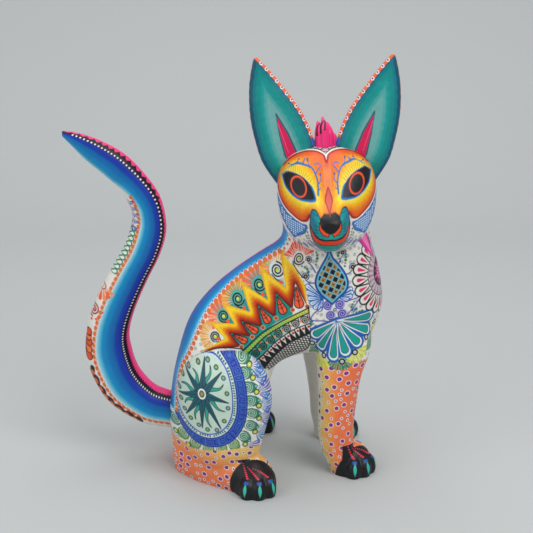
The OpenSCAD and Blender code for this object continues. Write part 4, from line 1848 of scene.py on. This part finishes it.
def paint_tail_field(coat, place):
    """The motifs on the white edge of the tail, from its root to its tip."""
    snake = [place(s, 0.915 + 0.03 * math.sin(s * 0.7)) for s in np.arange(26, 80, 1.5)]
    coat.stroke(snake, 7.4, "1E1012", 4.5)
    for s in np.arange(29, 78, 6.6):
        coat.oval(place(s, 0.925), 5.0, 4.2, 0, "D83A1E")
        coat.oval(place(s, 0.925), 2.4, 1.6, 0, "E8B028")
        coat.dot(place(s, 0.925), 0.5, "black")
    for k, s in enumerate(np.arange(88, 114, 5.4)):
        root, tip = place(103, 1.02), place(s - 3, 0.84 + 0.015 * abs(k - 2))
        coat.drop(root, tip, 5.6, "6E1A16", 0.7)
        coat.drop(root, tip, 4.6, ("E8501E", "EE8048")[k % 2])
    coat.spiral(place(124, 0.95), 5.6, 2.5, 1.3, "A8202A")
    for k in range(8):
        coat.dot(polar(place(124, 0.95), 8.0, 60 + 30 * k), 1.1, "EE5A38")
    coat.fan(place(146, 1.0), 3.4, 13.0, 110, 250, 8, 3.4, ["EE6238", "F09060"])
    coat.dot(place(145, 0.97), 2.8, "A8241A", "white", "E8B028")
    for s in np.arange(160, 202, 4.6):
        coat.drop(place(s, 1.0), place(s + 2.4, 0.83), 4.2, "1F8052", 0.5)
        coat.drop(place(s, 0.985), place(s + 2.2, 0.85), 2.8, "E8EEE8")
    for s in np.arange(206, 240, 7.5):
        coat.fan(place(s, 0.97), 1.4, 5.6, 110, 250, 6, 1.7, ["2E7ABF", "5A55A8"])
        coat.dot(place(s, 0.97), 1.4, "magenta", "white")


# ---------------------------------------------------------------- materials


def surface(obj):
    """The points of a piece in the fox's frame, in millimetres, and their normals."""
    count = len(obj.data.vertices)
    points = np.empty(count * 3, np.float32)
    normals = np.empty(count * 3, np.float32)
    obj.data.vertices.foreach_get("co", points)
    obj.data.vertices.foreach_get("normal", normals)
    return in_fox(points.reshape(-1, 3).astype(float)), normals.reshape(-1, 3).astype(float)


def node_tree(name):
    """A new material with its node tree and its surface shader."""
    material = bpy.data.materials.new(name)
    material.use_nodes = True
    return material, material.node_tree, material.node_tree.nodes["Principled BSDF"]


def mapped(tree, source, low, high):
    """A socket's value from 0 to 1 brought between two limits."""
    node = tree.nodes.new("ShaderNodeMapRange")
    node.inputs["To Min"].default_value = low
    node.inputs["To Max"].default_value = high
    tree.links.new(source, node.inputs["Value"])
    return node.outputs["Result"]


def add_bump(tree, shader, coords, scale, distance):
    """A fine unevenness of the surface from noise of this many bumps per metre."""
    noise = tree.nodes.new("ShaderNodeTexNoise")
    noise.inputs["Scale"].default_value = scale
    noise.inputs["Detail"].default_value = 4
    tree.links.new(coords, noise.inputs["Vector"])
    bump = tree.nodes.new("ShaderNodeBump")
    bump.inputs["Strength"].default_value = 0.5
    bump.inputs["Distance"].default_value = distance
    tree.links.new(noise.outputs["Fac"], bump.inputs["Height"])
    tree.links.new(bump.outputs["Normal"], shader.inputs["Normal"])
    return noise


def lacquer(name):
    """Hand-laid acrylic under a thin varnish: the points' own colours, slightly uneven."""
    material, tree, shader = node_tree(name)
    paint = tree.nodes.new("ShaderNodeAttribute")
    paint.attribute_name = "paint"
    where = tree.nodes.new("ShaderNodeTexCoord")
    noise = add_bump(tree, shader, where.outputs["Object"], 260, 0.0004)
    mix = tree.nodes.new("ShaderNodeVectorMath")
    mix.operation = "SCALE"
    tree.links.new(paint.outputs["Color"], mix.inputs[0])
    tree.links.new(mapped(tree, noise.outputs["Fac"], 0.86, 1.1), mix.inputs["Scale"])
    tree.links.new(mix.outputs["Vector"], shader.inputs["Base Color"])
    tree.links.new(mapped(tree, noise.outputs["Fac"], 0.34, 0.5), shader.inputs["Roughness"])
    shader.inputs["Specular IOR Level"].default_value = 0.32
    return material


def bare_wood():
    """Pale copal wood with its grain along the peg."""
    material, tree, shader = node_tree("copal_wood")
    where = tree.nodes.new("ShaderNodeTexCoord")
    stretch = tree.nodes.new("ShaderNodeMapping")
    stretch.inputs["Scale"].default_value = (1, 1, 0.12)
    tree.links.new(where.outputs["Object"], stretch.inputs["Vector"])
    grain = add_bump(tree, shader, stretch.outputs["Vector"], 900, 0.0002)
    tones = tree.nodes.new("ShaderNodeValToRGB")
    tones.color_ramp.elements[0].color = (*hue("B98F58"), 1)
    tones.color_ramp.elements[1].color = (*hue("DDBE8C"), 1)
    tree.links.new(grain.outputs["Fac"], tones.inputs["Fac"])
    tree.links.new(tones.outputs["Color"], shader.inputs["Base Color"])
    shader.inputs["Roughness"].default_value = 0.7
    return material


def paint_piece(obj, rgb):
    attribute = obj.data.color_attributes.new("paint", "FLOAT_COLOR", "POINT")
    rgba = np.ones((len(rgb), 4), np.float32)
    rgba[:, :3] = rgb
    attribute.data.foreach_set("color", rgba.ravel())


# ---------------------------------------------------------------- the picture


def make_camera():
    data = bpy.data.cameras.new("camera")
    data.sensor_width = 36
    data.lens = 80.4
    camera = placed("camera", data)
    camera.location = (-0.9785, -0.0294, 0.480)
    camera.rotation_euler = (math.radians(90 - 17), 0, math.radians(-90))
    bpy.context.scene.camera = camera


def make_room():
    """A pale floor that bends up into a backdrop."""
    bend = [math.pi / 2 * i / 15 for i in range(16)]
    profile = [(-2.0, 0)]
    profile += [(0.75 + 0.5 * math.sin(a), 0.5 - 0.5 * math.cos(a)) for a in bend]
    profile += [(1.25, 2.2)]
    points = [(x, y, z) for x, z in profile for y in (-2.5, 2.5)]
    faces = [(2 * i, 2 * i + 1, 2 * i + 3, 2 * i + 2) for i in range(len(profile) - 1)]
    mesh = bpy.data.meshes.new("room")
    mesh.from_pydata(points, [], faces)
    mesh.polygons.foreach_set("use_smooth", [True] * len(faces))
    room = placed("room", mesh)
    material, _, shader = node_tree("pale_floor")
    shader.inputs["Base Color"].default_value = (0.49, 0.505, 0.5, 1)
    shader.inputs["Roughness"].default_value = 0.9
    mesh.materials.append(material)


def lamp(name, place, aim, size, power):
    data = bpy.data.lights.new(name, "AREA")
    data.shape = "SQUARE"
    data.size = size
    data.energy = power
    obj = placed(name, data)
    obj.location = place
    obj.rotation_euler = (Vector(aim) - Vector(place)).to_track_quat("-Z", "Y").to_euler()


def make_lights():
    lamp("key", (-1.2, -0.9, 1.6), (0, 0, 0.15), 1.2, 22)
    lamp("fill", (-1.0, 1.4, 0.9), (0, 0, 0.15), 1.5, 10)
    lamp("top", (0.3, 0, 1.9), (0, 0, 0.1), 1.6, 16)
    world = bpy.data.worlds.new("world")
    world.use_nodes = True
    sky = world.node_tree.nodes["Background"]
    sky.inputs["Color"].default_value = (0.9, 0.95, 1, 1)
    sky.inputs["Strength"].default_value = 0.4
    bpy.context.scene.world = world
    bpy.context.scene.view_settings.view_transform = "Standard"


SLOTS = {
    "torso": "body_paint",
    "head": "head_paint",
    "left_ear": "ear_paint",
    "right_ear": "ear_paint",
    "crest": "crest_paint",
    "tail": "tail_paint",
    "front_right_leg": "leg_paint",
    "front_left_leg": "leg_paint",
    "hind_right_leg": "haunch_paint",
    "hind_left_leg": "haunch_paint",
}
PAINTERS = {
    "torso": paint_trunk,
    "head": paint_head,
    "left_ear": lambda obj: paint_ear(obj, 1),
    "right_ear": lambda obj: paint_ear(obj, -1),
    "crest": paint_crest,
    "tail": paint_tail,
    "front_right_leg": lambda obj: paint_front_leg(obj, "front_right"),
    "front_left_leg": lambda obj: paint_front_leg(obj, "front_left"),
    "hind_right_leg": lambda obj: paint_hind_leg(obj, "hind_right"),
    "hind_left_leg": lambda obj: paint_hind_leg(obj, "hind_left"),
}
MOVING = ("left_ear", "right_ear", "tail")

paints = {slot: lacquer(slot) for slot in sorted(set(SLOTS.values()))}
wood = bare_wood()
pieces = make_pieces()
for node, obj in pieces.items():
    obj.data.polygons.foreach_set("use_smooth", [True] * len(obj.data.polygons))
    obj.data.set_sharp_from_angle(angle=math.radians(50))
    paint_piece(obj, PAINTERS[node](obj))
    obj.data.materials.clear()
    obj.data.materials.append(paints[SLOTS[node]])
    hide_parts(node)
    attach(obj, node if node in MOVING else "body")
for node in DOWELS:
    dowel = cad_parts[node]
    dowel.data.materials.clear()
    dowel.data.materials.append(wood)

make_camera()
make_room()
make_lights()
